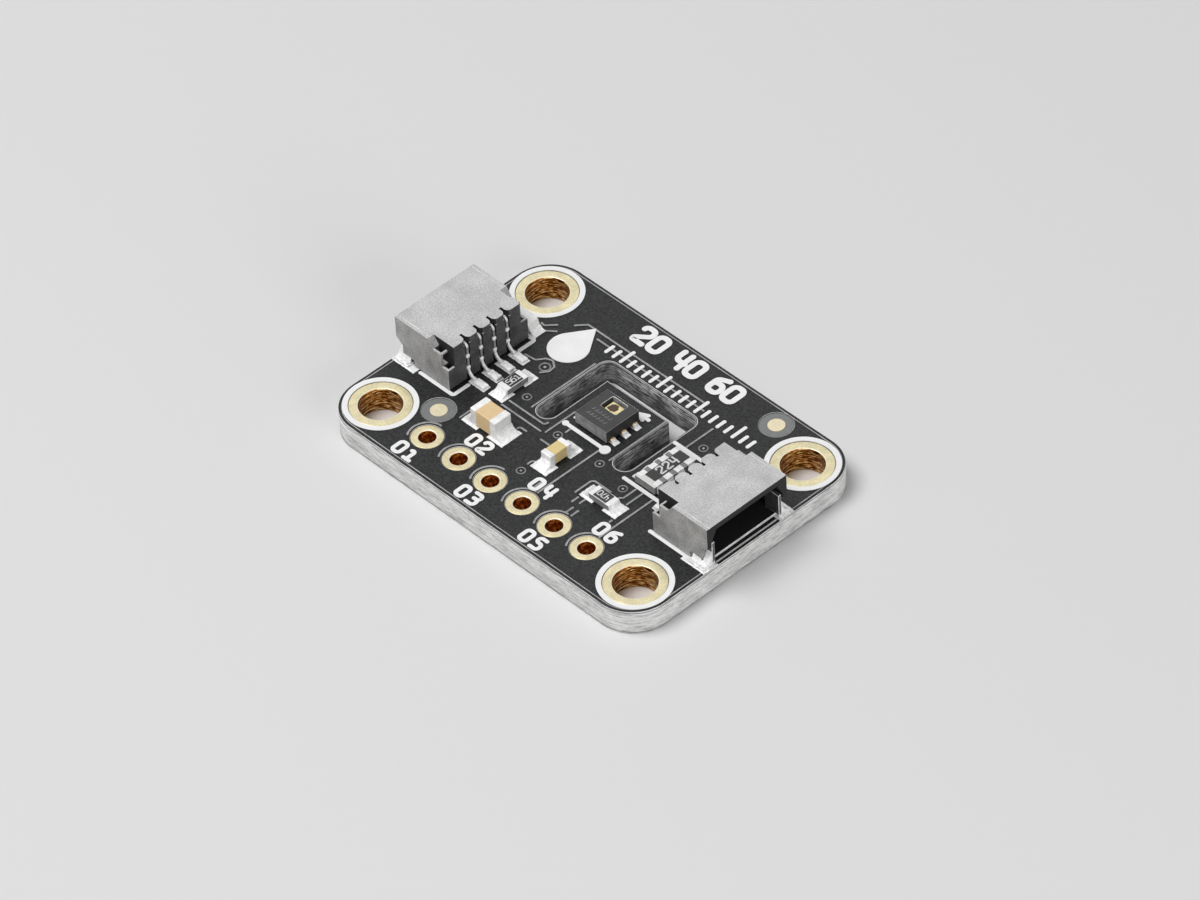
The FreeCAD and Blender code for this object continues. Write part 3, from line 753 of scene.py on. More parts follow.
# The lips are painted a paler gold: a painted highlight.
lip_highlight_gold_colour = (0.90, 0.85, 0.64)
barrel_colour = (0.48, 0.15, 0.003)
barrel_glint_colour = (1.0, 0.85, 0.42)
pin_barrel_colour = (0.56, 0.17, 0.012)
pin_glint_colour = (0.95, 0.50, 0.12)


def lathe(profile, x, y, segments):
    """A closed ring turned round an upright axis, with a UV map of arc length and height."""
    shape = bmesh.new()
    rings = []
    for index in range(segments):
        angle = 2 * math.pi * index / segments
        across, along = math.cos(angle), math.sin(angle)
        rings.append([shape.verts.new((x + r * across, y + r * along, z)) for r, z in profile])
    uv = shape.loops.layers.uv.new("wrap")
    for index in range(segments):
        here = rings[index]
        there = rings[(index + 1) % segments]
        for step in range(len(profile)):
            onward = (step + 1) % len(profile)
            face = shape.faces.new((here[step], there[step], there[onward], here[onward]))
            face.smooth = True
            for loop, turn, place in zip(face.loops, (0, 1, 1, 0), (step, step, onward, onward)):
                arc = 2 * math.pi * (index + turn) / segments * profile[0][0]
                loop[uv].uv = (arc, profile[place][1])
    bmesh.ops.recalc_face_normals(shape, faces=shape.faces)
    return shape


def hole_profile(bore, flange, bottom, top):
    """The outline of one plated hole, with round lips at its mouths and flange edges."""
    angles = [math.radians(angle) for angle in range(0, 91, lip_step_angle)]

    def quarter(edge, radius):
        """A quarter round on the upper face; the radius is negative round a bore."""
        return [
            (edge - radius * (1 - math.sin(angle)), top - abs(radius) * (1 - math.cos(angle)))
            for angle in angles
        ]

    under = top - flange_thickness
    upper = quarter(bore, -lip_radius)[::-1] + quarter(flange, flange_edge_radius)
    upper += [(flange, under), (bore + barrel_wall, under)]
    return upper + [(r, bottom + top - z) for r, z in reversed(upper)]


def barrel_material(name, colour, glint, stretch, hollow_shade_share):
    """Rough gold-plated barrel: painted dark amber shade in its hollows, and painted bright glints in
    rows round the wall.
    """
    material, tree, shader = plain_material(name, {"Metallic": 1.0, "Roughness": 0.3})
    wrap = add_node(tree, "ShaderNodeUVMap", uv_map="wrap").outputs["UV"]
    rough = {"Detail": 4.0, "Roughness": 0.7, "Distortion": 0.6}
    height = stretched_noise(tree, wrap, stretch, rough, turn=math.radians(2))
    hollow_shade = [hollow_shade_share * value for value in colour]
    stops = ((hollow_shade_place, hollow_shade), (glint_place, glint), (wall_place, colour))
    finish_shader(tree, shader, colour_ramp(tree, height, stops), height, barrel_rise)
    return material


ring_gold = grained_material(
    "gold_flange", ring_gold_colour, roughness=0.36, grain=0.1, blotch=0.6, swings=(0.12, 0.12),
    bump=0.008, metallic=0.45,
)
# The round lips: a paler gold, as a painted highlight.
lip_highlight_gold = grained_material(
    "gold_lip_highlight", lip_highlight_gold_colour, roughness=0.3, grain=0.1, blotch=0.6, swings=(0.06, 0.08),
    bump=0.004, metallic=0.2,
)
plated_barrel = barrel_material(
    "plated_barrel", barrel_colour, barrel_glint_colour, stretch=(1.8, 9.5, 1.0), hollow_shade_share=0.06
)
pin_barrel = barrel_material(
    "pin_barrel", pin_barrel_colour, pin_glint_colour, stretch=(4.0, 4.0, 1.0), hollow_shade_share=0.4
)


def plated_holes(prefix, count, barrel):
    """Rebuilds the plated holes with round lips, from the boxes and bores of the CAD nodes."""
    golds = [ring_gold, barrel, lip_highlight_gold]
    for number in range(1, count + 1):
        name = "%s_%d" % (prefix, number)
        low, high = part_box(name)
        x, y = node_centre(name)
        flange = (high.x - low.x) * 500
        corners = [corner.co * 1000 for corner in nodes[name].data.vertices]
        bore = min(math.hypot(corner.x - x, corner.y - y) for corner in corners)
        profile = hole_profile(bore, flange, low.z * 1000, high.z * 1000)
        shape = lathe(profile, x, y, hole_sides)
        for face in shape.faces:
            outward = face.calc_center_median() - Vector((x, y, 0))
            from_bore = math.hypot(outward.x, outward.y) - bore
            gold = ring_gold
            if from_bore < barrel_reach:
                gold = barrel
            # The round lip takes the paler gold of a painted highlight.
            elif from_bore < lip_highlight_reach:
                gold = lip_highlight_gold
            face.material_index = golds.index(gold)
        finish_piece(name + "_gold", mesh_from(shape, name), golds, [name])


plated_holes("mounting_hole_plating", 4, plated_barrel)
plated_holes("pin_hole_plating", 6, pin_barrel)


# Alignment marks
# Two round copper dots, plated with gold like the holes, in wider bare openings of the mask.
# A placing machine finds the board by them.
mark_colour = (0.84, 0.75, 0.52)
mark_gold = grained_material(
    "alignment_mark_gold", mark_colour, roughness=0.45, grain=0.06, blotch=0.5, swings=(0.08, 0.05),
    bump=0.003, metallic=0.2,
)
for number in (1, 2):
    mark = "alignment_mark_%d" % number
    softened_copy(mark + "_gold", mark, [mark_gold], width=0.01)


# White print
# Epoxy ink screened on the mask: rings, part outlines, plain pin numbers, a scale and a droplet.
# The numbers are drawn with round-ended strokes, each given on a box 0.6 wide and 1 tall.
ink_colour = (0.94, 0.94, 0.94)
ink_height = 0.036
ring_width = 0.32
ring_middle = 1.99
ring_sides = 96
mouth_line_x = 12.24
mouth_line_reach = 2.25
mouth_line_width = 0.08
outline_width = 0.25
digit_width = 0.6
label_stroke = 0.25
label_height = 0.86
label_step = 0.92
lower_label_y = -8.38
upper_label_y = -5.22
scale_stroke = 0.36
scale_height = 1.26
scale_step = 1.12
scale_pair_step = 2.95
scale_x = -3.95
scale_y = 6.96
tick_base_y = 5.2
tick_width = 0.22
tick_step = 0.59
tick_rises = (1.0, 0.55)
tick_range = (-2, 18)
ticks_apart = 5
first_major_x = -3.0
droplet_x = -5.93
droplet_y = 3.98
droplet_radius = 1.22
droplet_tip = 2.15
droplet_angles = (145, 395)
droplet_steps = 40
dots = ((1.53, 0.33), (-1.6, 0.2))
dot_y = -0.35
dot_rise = 0.05
dot_sides = 32
digit_strokes = {
    "0": [[(0.3, 1), (0, 1), (0, 0), (0.6, 0), (0.6, 1), (0.3, 1)]],
    "1": [[(0.06, 0.78), (0.32, 1), (0.32, 0)], [(0.06, 0), (0.58, 0)]],
    "2": [[(0, 0.82), (0, 1), (0.6, 1), (0.6, 0.62), (0, 0.14), (0, 0), (0.6, 0)]],
    "3": [[(0, 1), (0.6, 1), (0.6, 0.54), (0.2, 0.54)], [(0.4, 0.54), (0.6, 0.54), (0.6, 0), (0, 0)]],
    "4": [[(0.04, 1), (0.04, 0.4), (0.6, 0.4)], [(0.52, 1), (0.52, 0)]],
    "5": [[(0.56, 1), (0.03, 1), (0.03, 0.56), (0.6, 0.56), (0.6, 0), (0, 0)]],
    "6": [
        [(0.52, 1), (0, 0.78), (0, 0.3)],
        [(0.3, 0.58), (0, 0.58), (0, 0), (0.6, 0), (0.6, 0.58), (0.3, 0.58)],
    ],
    "7": [[(0, 1), (0.6, 1), (0.2, 0)]],
}
part_outlines = [
    [(-10.4, 3.1), (-7.75, 3.1), (-7.75, 1.96)],
    [(-10.4, -3.1), (-7.75, -3.1), (-7.75, -1.96)],
    [(7.95, -3.09), (10.65, -3.09)],
    [(7.95, 3.09), (10.65, 3.09)],
    [(3.9, 2.7), (6.15, 2.7)],
    [(3.9, -1.16), (6.64, -1.16)],
    [(-1.55, -0.35), (1.5, -0.35)],
    [(0.8, 2.95), (1.55, 2.95)],
    [(0.8, 2.95), (1.3, 3.2)],
    [(0.8, 2.95), (1.3, 2.72)],
]


def number_lines(text, x, y, height, step, turn=0.0):
    """Strokes of a plain number: its lower left corner, digit height, step and turn in degrees."""
    cosine = math.cos(math.radians(turn))
    sine = math.sin(math.radians(turn))
    lines = []
    for index, digit in enumerate(text):
        for stroke in digit_strokes[digit]:
            line = []
            for across, rise in stroke:
                along = index * step + across * height
                up = rise * height
                line.append((x + along * cosine - up * sine, y + along * sine + up * cosine))
            lines.append(line)
    return lines


white_ink = grained_material(
    "white_ink", ink_colour, roughness=0.55, grain=0.05, blotch=0.6, swings=(0.03, 0.03), bump=0.002
)
hole_rings = []
for number in range(1, 5):
    x, y = node_centre("mounting_hole_plating_%d" % number)
    hole_rings.append(arc_line(x, y, ring_middle, 0, 360, ring_sides))
line_piece("hole_rings", hole_rings, ring_width, ink_height, white_ink)

mouth_lines = [
    [(side * mouth_line_x, -mouth_line_reach), (side * mouth_line_x, mouth_line_reach)]
    for side in (-1, 1)
]
line_piece("mouth_lines", mouth_lines, mouth_line_width, ink_height, white_ink)
line_piece("part_outlines", part_outlines, outline_width, ink_height, white_ink, bend=0.12)

label_lines = []
for number in range(1, 7):
    pin_x = node_centre("pin_hole_plating_%d" % number)[0]
    x = pin_x - label_step / 2 - digit_width / 2 * label_height
    y = lower_label_y if number % 2 else upper_label_y
    label_lines += number_lines("0%d" % number, x, y, label_height, label_step)
line_piece("pin_numbers", label_lines, label_stroke, ink_height, white_ink, bend=0.2)

scale_lines = []
for index, number in enumerate(("20", "40", "60")):
    x = scale_x + index * scale_pair_step
    scale_lines += number_lines(number, x, scale_y, scale_height, scale_step)
line_piece("scale_numbers", scale_lines, scale_stroke, ink_height, white_ink, bend=0.3)

tick_lines = []
for index in range(*tick_range):
    x = first_major_x + index * tick_step
    rise = tick_rises[0] if index % ticks_apart == 0 else tick_rises[1]
    tick_lines.append([(x, tick_base_y), (x, tick_base_y + rise)])
line_piece("scale_ticks", tick_lines, tick_width, ink_height, white_ink)

droplet = arc_line(droplet_x, droplet_y, droplet_radius, *droplet_angles, droplet_steps)
droplet.append((droplet_x, droplet_y + droplet_tip))
ink_patches = [(droplet, board_top, ink_height)]
for x, radius in dots:
    dot = arc_line(x, dot_y, radius, 0, 360, dot_sides)[:-1]
    ink_patches.append((dot, board_top, dot_rise))
patch_piece("ink_patches", ink_patches, white_ink)


# Cable sockets
# Side-entry sockets moulded in a matt grey plastic, with ribs and slots for the contacts behind.
# The moulding is a little smoother on top than on its ends, and its one grey plastic comes in lit and
# shaded copies:
# painted lighter on top, painted shade on the sides and darker shade on the ends, painted shadow in
# the cavity and slots, and painted highlights on the upper rims and the front of the floor.
# Lit and shaded copies of one plastic: the top painted lighter, the sides painted shade, the ends
# darker shade, the inside painted shadow, and the edges painted highlights.
socket_lit_top_colour = (0.56, 0.56, 0.56)
socket_side_shade_colour = (0.36, 0.36, 0.36)
socket_end_shade_colour = (0.07, 0.07, 0.07)
socket_inside_shadow_colour = (0.02, 0.02, 0.02)
socket_edge_highlight_colour = (0.82, 0.82, 0.82)
socket_edge_width = 0.055
socket_skin = 0.04
slot_region = 1.75
wall_region = 0.28
cavity_start = 1.3
floor_setback = 0.42
floor_front_height = 0.5
facing_share = 0.7
# A pale line along each top, near its long edges: a painted highlight.
moulding_line_inset = 0.22
moulding_line_share = 0.62
moulding_line_width = 0.035
moulding_line_height = 0.006
moulding_line_highlight_colour = (0.82, 0.82, 0.82)

# The plastics below are painted light and shade: a lit top, shaded sides and ends, shadow inside, and
# highlights on the edges.
socket_plastic = grained_material(
    "socket_plastic", socket_lit_top_colour, roughness=0.5, grain=0.08, blotch=1.4, swings=(0.24, 0.14),
    bump=0.01,
)
socket_side_shaded_plastic = grained_material(
    "socket_side_shaded_plastic", socket_side_shade_colour, roughness=0.5, grain=0.1, blotch=0.8,
    swings=(0.26, 0.25), bump=0.01,
)
socket_end_shaded_plastic = grained_material(
    "socket_end_shaded_plastic", socket_end_shade_colour, roughness=0.55, grain=0.1, blotch=0.7,
    swings=(0.35, 0.35), bump=0.01, specular=0.3,
)
socket_inside_shadow_plastic = grained_material(
    "socket_inside_shadow_plastic", socket_inside_shadow_colour, roughness=0.6, grain=0.08, blotch=0.9,
    swings=(0.15, 0.1), bump=0.004, specular=0.2,
)
socket_edge_highlight_plastic = grained_material(
    "socket_edge_highlight_plastic", socket_edge_highlight_colour, roughness=0.4, grain=0.1, blotch=0.5,
    swings=(0.2, 0.25), bump=0.006,
)


def box_mm(name):
    """The low and the high corner of a CAD node's box, in millimetres."""
    return [corner * 1000 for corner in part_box(name)]


def socket_piece(side):
    """One housing in lit and shaded copies of its plastic: painted shade on its sides and ends,
    painted shadow inside its cavity and slots, and painted highlights on its upper rims and the front
    of its floor.
    """
    low, high = box_mm(side + "_socket_housing")
    rear = high.x if side == "left" else low.x
    depth = high.x - low.x

    def choose(face, rim):
        """The painted light or shade of a face, by how far it lies from the rear, the ends and the
        top, and which way it faces.
        """
        middle = face.calc_center_median()
        from_rear = abs(middle.x - rear)
        from_side = high.y - abs(middle.y)
        below_top = high.z - middle.z
        in_slots = abs(middle.y) < slot_region and socket_skin < from_rear
        in_cavity = cavity_start < from_rear < depth - socket_skin and from_side > wall_region
        pocket_back = socket_skin < from_rear < cavity_start and from_side > wall_region
        # The front of the floor is painted pale: a painted highlight.
        if depth - from_rear < floor_setback and middle.z < low.z + floor_front_height:
            return socket_edge_highlight_plastic
        # Inside the cavity and slots, and on the back walls of the pockets: painted shadow.
        if below_top > socket_skin and (in_slots or in_cavity):
            return socket_inside_shadow_plastic
        if pocket_back and below_top > socket_skin and abs(face.normal.y) > facing_share:
            return socket_inside_shadow_plastic
        # Rounded rims near the top get painted highlights, and the others painted side shade.
        if rim > 0.5:
            near_top = below_top < 2 * socket_edge_width
            return socket_edge_highlight_plastic if near_top else socket_side_shaded_plastic
        # Faces turned along the length get painted shade, darkest on the rear and on the inner walls.
        if abs(face.normal.x) > facing_share:
            end = from_rear < socket_skin or from_side > wall_region
            return socket_end_shaded_plastic if end else socket_side_shaded_plastic
        # Faces turned to the sides get painted side shade, and the rest the lit top plastic.
        return socket_side_shaded_plastic if abs(face.normal.y) > facing_share else socket_plastic

    softened_copy(
        side + "_socket_moulding",
        side + "_socket_housing",
        [
            socket_plastic,
            socket_end_shaded_plastic,
            socket_inside_shadow_plastic,
            socket_side_shaded_plastic,
            socket_edge_highlight_plastic,
        ],
        socket_edge_width,
        choose,
    )


for side in ("left", "right"):
    socket_piece(side)

# The pale line along each top is a painted highlight.
moulding_line_highlight = grained_material(
    "moulding_line_highlight", moulding_line_highlight_colour, roughness=0.5, grain=0.08, blotch=0.6,
    swings=(0.3, 0.3), bump=0.004,
)
moulding_highlight_lines = []
for side in ("left", "right"):
    low, high = box_mm(side + "_socket_housing")
    mouth, rear = (low.x, high.x) if side == "left" else (high.x, low.x)
    line_end = mouth + moulding_line_share * (rear - mouth)
    for y in (low.y + moulding_line_inset, high.y - moulding_line_inset):
        moulding_highlight_lines.append([(mouth, y), (line_end, y)])
line_piece(
    "moulding_highlight_lines",
    moulding_highlight_lines,
    moulding_line_width,
    moulding_line_height,
    moulding_line_highlight,
    base=box_mm("right_socket_housing")[1].z,
)


# Contacts, anchors, leads and terminals
# Stamped and formed bronze strip with a bright tin plating, soldered to the board by its feet.
# A contact's riser has two round beads, and between them it is painted greyer as shade.
# The ends of the chip parts have the same plating.
tin_colour = (0.97, 0.97, 0.97)
anchor_colour = (0.88, 0.88, 0.89)
# The anchor's leg is painted dark: painted shade in the cavity.
anchor_leg_shade_colour = (0.10, 0.10, 0.105)
anchor_foot_top = 0.3
anchor_edge_width = 0.03
contact_edge_width = 0.02
# The riser between the beads is painted greyer: painted shade.
riser_shade_colour = (0.34, 0.34, 0.34)
riser_inset = 0.08
riser_top = 2.0
bead_heights = (0.82, 1.66)
bead_radius = 0.16
bead_sides = 24
lead_edge_width = 0.03
resistor_terminal_edge_width = 0.04
lamp_terminal_edge_width = 0.03
cap_edge_width = 0.07
warm_tin_colour = (0.80, 0.56, 0.32)

bright_tin = grained_material(
    "bright_tin", tin_colour, roughness=0.3, grain=0.1, blotch=0.35, swings=(0.06, 0.1), bump=0.02,
    metallic=0.08,
)
# The greyer tin of the riser: painted shade.
shaded_riser_tin = grained_material(
    "shaded_riser_tin", riser_shade_colour, roughness=0.3, grain=0.1, blotch=0.4, swings=(0.2, 0.2), bump=0.01,
    metallic=0.3,
)
warm_tin = grained_material(
    "warm_tin", warm_tin_colour, roughness=0.3, grain=0.15, blotch=0.4, swings=(0.1, 0.1),
    bump=0.02, metallic=0.5,
)
anchor_tin = grained_material(
    "anchor_tin", anchor_colour, roughness=0.3, grain=0.15, blotch=0.4, swings=(0.2, 0.2),
    bump=0.03, metallic=0.3,
)
# The dark tin of the anchor's leg: painted shade.
shaded_anchor_leg_tin = grained_material(
    "shaded_anchor_leg_tin", anchor_leg_shade_colour, roughness=0.35, grain=0.1, blotch=0.4, swings=(0.3, 0.3),
    bump=0.01, metallic=0.3,
)


def contact_piece(side, number):
    """A formed strip with two round beads on its riser, which is painted greyer between the beads as
    shade.
    """
    contact = "%s_socket_contact_%d" % (side, number)
    low, high = box_mm(contact)
    housing_low, housing_high = box_mm(side + "_socket_housing")
    riser = housing_high.x - riser_inset if side == "left" else housing_low.x + riser_inset
    row = (low.y + high.y) / 2
    tins = [bright_tin, shaded_riser_tin]
    shape = merged_copy(contact)
    soften_edges(shape, contact_edge_width)
    # Between the beads the riser takes the greyer tin of painted shade.
    for face in shape.faces:
        rise = face.calc_center_median().z - board_top
        tin = shaded_riser_tin if bead_heights[0] < rise < riser_top else bright_tin
        face.material_index = tins.index(tin)
    for height in bead_heights:
        ball = bmesh.ops.create_uvsphere(
            shape, u_segments=bead_sides, v_segments=bead_sides * 2 // 3, radius=bead_radius
        )
        bmesh.ops.translate(shape, vec=(riser, row, board_top + height), verts=ball["verts"])
        for corner in ball["verts"]:
            for face in corner.link_faces:
                face.smooth = True
    mesh = mesh_from(shape, contact)
    finish_piece(contact + "_strip", mesh, tins, [contact])


def anchor_piece(side, number):
    """A bent plate; its leg stands in the cavity and is painted dark there as shade, all but its
    rounded edges.
    """
    anchor = "%s_socket_anchor_%d" % (side, number)
    tins = [anchor_tin, shaded_anchor_leg_tin]
    shape = merged_copy(anchor)
    everything = shape.verts[:] + shape.edges[:] + shape.faces[:]
    bend = Vector((0, 0, board_top + anchor_foot_top))
    bmesh.ops.bisect_plane(shape, geom=everything, plane_co=bend, plane_no=(0, 0, 1))
    rim = soften_edges(shape, anchor_edge_width)
    # Above the bend, all but the rounded edges get the dark tin of painted shade.
    for face in shape.faces:
        leg = face.calc_center_median().z > bend.z and face[rim] < 0.5
        face.material_index = tins.index(shaded_anchor_leg_tin if leg else anchor_tin)
    mesh = mesh_from(shape, anchor)
    finish_piece(anchor + "_plate", mesh, tins, [anchor])


def tin_piece(name, node, width, tin=bright_tin):
    """A terminal, cap or set of leads, with its edges rounded."""
    softened_copy(name, node, [tin], width)


for side in ("left", "right"):
    for number in range(1, 5):
        contact_piece(side, number)
    for number in (1, 2):
        anchor_piece(side, number)
tin_piece("sensor_lead_set", "sensor_leads", lead_edge_width, warm_tin)
for place in ("left", "front"):
    for number in (1, 2):
        terminal = "%s_resistor_terminal_%d" % (place, number)
        tin_piece(terminal + "_tin", terminal, resistor_terminal_edge_width)
for number in (1, 2):
    terminal = "indicator_terminal_%d" % number
    tin_piece(terminal + "_tin", terminal, lamp_terminal_edge_width)
    for size in ("large", "small"):
        cap = "%s_capacitor_cap_%d" % (size, number)
        tin_piece(cap + "_tin", cap, cap_edge_width)
tin_piece("resistor_array_tin", "resistor_array_terminals", resistor_terminal_edge_width)


# Solder joints
# Tin solder that has flowed between the pads and the metal parts, bright and slightly lumpy.
# Each joint is remeshed finely, and its surface is moved in and out a little.
solder_colour = (0.95, 0.95, 0.95)
solder_grid = 0.028
smooth_turns = 3
socket_smooth_turns = 6
lump_size = 0.16
lump_height = 0.022
small_lump_ratio = 2.7
small_lump_share = 0.5
lead_pitch = 0.83
lump_radii = (0.22, 0.19, 0.17)
lump_inset = 0.02
lump_rise = 0.12
warm_reach = 0.13
warm_rise = 0.1
solder_places = (
    "left_socket",
    "right_socket",
    "sensor",
    "large_capacitor",
    "small_capacitor",
    "left_resistor",
    "front_resistor",
    "resistor_array",
    "indicator",
)

bright_solder = grained_material(
    "bright_solder", solder_colour, roughness=0.3, grain=0.09, blotch=0.3, swings=(0.08, 0.12),
    bump=0.02, metallic=0.05,
)
solder_tins = [bright_solder, warm_tin]


def add_lumps(shape, leads):
    """Adds a round lump at the outer end of each lead of the sensor, over its pad."""
    islands = {}
    low, high = box_mm(leads)
    middle = (low + high) / 2
    for corner in nodes[leads].data.vertices:
        place = corner.co * 1000
        key = (place.x > middle.x, round((place.y - middle.y) / lead_pitch))
        islands.setdefault(key, []).append(place)
    for (right, row), places in islands.items():
        outer_x = max(place.x for place in places) if right else min(place.x for place in places)
        inward = -1 if right else 1
        y = sum(place.y for place in places) / len(places)
        ball = bmesh.ops.create_icosphere(shape, subdivisions=3, radius=1.0)
        bmesh.ops.scale(shape, vec=lump_radii, verts=ball["verts"])
        spot = (outer_x + inward * lump_inset, y, board_top + lump_rise)
        bmesh.ops.translate(shape, vec=spot, verts=ball["verts"])


def remeshed(start, name):
    """A shape made again with a fine even grid."""
    carrier = bpy.data.objects.new(name, mesh_from(start, name))
    bpy.context.scene.collection.objects.link(carrier)
    grid = carrier.modifiers.new("grid", "REMESH")
    grid.mode = "VOXEL"
    grid.voxel_size = solder_grid
    evaluated = carrier.evaluated_get(bpy.context.evaluated_depsgraph_get())
    fine = bpy.data.meshes.new_from_object(evaluated)
    bpy.data.objects.remove(carrier)
    shape = bmesh.new()
    shape.from_mesh(fine)
    bpy.data.meshes.remove(fine)
    return shape


def warm_beside_sensor(shape):
    """Gives the solder its warm tone where it lies close beside the sensor's package."""
    low, high = box_mm("sensor_package")
    for face in shape.faces:
        centre = face.calc_center_median()
        beside = max(low.x - centre.x, centre.x - high.x)
        if beside < warm_reach and centre.z > board_top + warm_rise:
            face.material_index = solder_tins.index(warm_tin)


def lumpy_solder(place):
    """A finely meshed copy of one place's solder, rounded off and made uneven."""
    node = "solder_" + place
    start = merged_copy(node)
    if place == "sensor":
        add_lumps(start, "sensor_leads")
    shape = remeshed(start, node + "_copy")
    axes = {"use_axis_x": True, "use_axis_y": True, "use_axis_z": True}
    for turn in range(socket_smooth_turns if place.endswith("socket") else smooth_turns):
        bmesh.ops.smooth_vert(shape, verts=shape.verts, factor=0.5, **axes)
    shape.normal_update()
    for corner in shape.verts:
        spot = corner.co / lump_size
        lump = noise.noise(spot) + small_lump_share * noise.noise(spot * small_lump_ratio)
        corner.co += corner.normal * lump * lump_height
        corner.co.z = max(corner.co.z, board_top)
    for face in shape.faces:
        face.smooth = True
    if place == "sensor":
        warm_beside_sensor(shape)
    name = place + "_solder"
    finish_piece(name, mesh_from(shape, name), solder_tins, [node])


for place in solder_places:
    lumpy_solder(place)


# Sensor
# A small black moulded package on six leads, with a window over its chip.
# The chip is gold with a dark film, and faint dashes are marked on the package by laser.
package_colour = (0.030, 0.030, 0.031)
# The side facing -y is painted lighter as lit, and the rounded edges get painted highlights,
# brightest round the window.
package_lit_side_colour = (0.26, 0.26, 0.26)
package_edge_highlight_colour = (0.20, 0.20, 0.20)
package_edge_width = 0.045
window_edge_highlight_colour = (0.92, 0.91, 0.88)
window_reach = 0.75
element_colour = (0.86, 0.75, 0.40)
film_colour = (0.06, 0.03, 0.012)
film_share = 0.32
film_height = 0.012
film_corners = (
    (-1.3, -0.9),
    (-0.2, -1.1),
    (0.7, -0.8),
    (0.9, 0.2),
    (0.5, 0.6),
    (0.3, 1.0),
    (-0.6, 0.9),
    (-1.1, 0.5),
)
laser_mark_colour = (0.20, 0.20, 0.205)
dash_width = 0.05
dash_height = 0.008
dash_length = 0.13
dash_drop = 0.16
dash_rows_y = (0.46, 0.86)
dash_starts_x = (-0.72, -0.46, -0.2, 0.06, 0.32, 0.58)

package_plastic = grained_material(
    "sensor_plastic", package_colour, roughness=0.5, grain=0.06, blotch=0.6, swings=(0.3, 0.2),
    bump=0.005,
)
# Painted light: the lit side, and highlights on the edges and round the window.
package_lit_side = grained_material(
    "sensor_lit_side", package_lit_side_colour, roughness=0.45, grain=0.08, blotch=0.6, swings=(0.4, 0.4),
    bump=0.006,
)
package_edge_highlight = grained_material(
    "sensor_edge_highlight", package_edge_highlight_colour, roughness=0.45, grain=0.06, blotch=0.6, swings=(0.2, 0.2),
    bump=0.004,
)
window_edge_highlight = grained_material(
    "window_edge_highlight", window_edge_highlight_colour, roughness=0.4, grain=0.08, blotch=0.3, swings=(0.3, 0.3),
    bump=0.004,
)
element_gold = grained_material(
    "sensing_chip_gold", element_colour, roughness=0.35, grain=0.08, blotch=0.4, swings=(0.15, 0.2),
    bump=0.003, metallic=0.4,
)
film_dark = grained_material(
    "sensing_film", film_colour, roughness=0.4, grain=0.08, blotch=0.3, swings=(0.3, 0.2), bump=0.002
)
laser_mark = grained_material(
    "laser_mark", laser_mark_colour, roughness=0.6, grain=0.05, blotch=0.3, swings=(0.2, 0.2),
    bump=0.002,
)

chip_low, chip_high = box_mm("sensing_element")
chip_middle = (chip_low + chip_high) / 2


def package_finish(face, rim):
    """Rounded edges get painted highlights, brightest round the window, and faces turned to -y are
    painted lighter as lit.
    """
    if rim < 0.5:
        return package_lit_side if face.normal.y < -facing_share else package_plastic
    away = face.calc_center_median() - chip_middle
    return window_edge_highlight if max(abs(away.x), abs(away.y)) < window_reach else package_edge_highlight


softened_copy(
    "sensor_moulding",
    "sensor_package",
    [package_plastic, package_edge_highlight, window_edge_highlight, package_lit_side],
    package_edge_width,
    package_finish,
)
softened_copy("sensing_chip", "sensing_element", [element_gold], width=0.01)
film_half = film_share * (chip_high.x - chip_low.x)
film_outline = [
    (chip_middle.x + film_half * across, chip_middle.y + film_half * along)
    for across, along in film_corners
]
patch_piece("sensing_film", [(film_outline, chip_high.z, film_height)], film_dark)
dash_lines = [
    [(x, y), (x + dash_length, y), (x + dash_length, y + dash_drop)]
    for y in dash_rows_y
    for x in dash_starts_x
]
line_piece(
    "laser_dashes",
    dash_lines,
    dash_width,
    dash_height,
    laser_mark,
    base=box_mm("sensor_package")[1].z,
    crown=0.8,
    bend=0.03,
)


# Capacitors
# Stacks of ceramic layers fired into a block, with plated metal ends.
# The larger is beige and the smaller is yellower, and both are soldered flat by their ends.
capacitors = (("large", (0.82, 0.61, 0.34), 0.05), ("small", (0.80, 0.63, 0.30), 0.04))
for size, colour, width in capacitors:
    slot = size + "_capacitor_ceramic"
    ceramic = grained_material(
        slot, colour, roughness=0.45, grain=0.07, blotch=0.6, swings=(0.05, 0.06), bump=0.003
    )
    body = size + "_capacitor_body"
    softened_copy(size + "_capacitor_block", body, [ceramic], width)


# Resistors
# White ceramic chips with a black glaze on top, marked with plain numbers.
# Two are single, and the third is a row of four, with the ceramic between its terminals painted dark
# as shade.
# The sides of the ceramic are a darker copy of its top: painted shade.
alumina_colour = (0.82, 0.82, 0.80)
# The ceramic's sides are a darker copy of its top: painted shade.
shaded_alumina_side_colour = (0.24, 0.24, 0.24)
glaze_colour = (0.022, 0.022, 0.023)
code_colour = (0.75, 0.75, 0.75)
code_rise = 0.008
resistor_edge_width = 0.02
array_pitch = 0.8
array_gap_length = 0.36
array_gap_width = 0.3
array_gap_rise = 0.006

alumina = grained_material(
    "alumina", alumina_colour, roughness=0.5, grain=0.06, blotch=0.4, swings=(0.04, 0.04),
    bump=0.002,
)
# The darker side copy of the ceramic: painted shade.
shaded_alumina_side = grained_material(
    "shaded_alumina_side", shaded_alumina_side_colour, roughness=0.6, grain=0.06, blotch=0.4, swings=(0.2, 0.2),
    bump=0.004,
)
glaze = grained_material(
    "resistor_glaze", glaze_colour, roughness=0.35, grain=0.08, blotch=0.5, swings=(0.2, 0.15),
    bump=0.004,
)
code_ink = grained_material(
    "code_ink", code_colour, roughness=0.6, grain=0.04, blotch=0.3, swings=(0.06, 0.06), bump=0.001
)


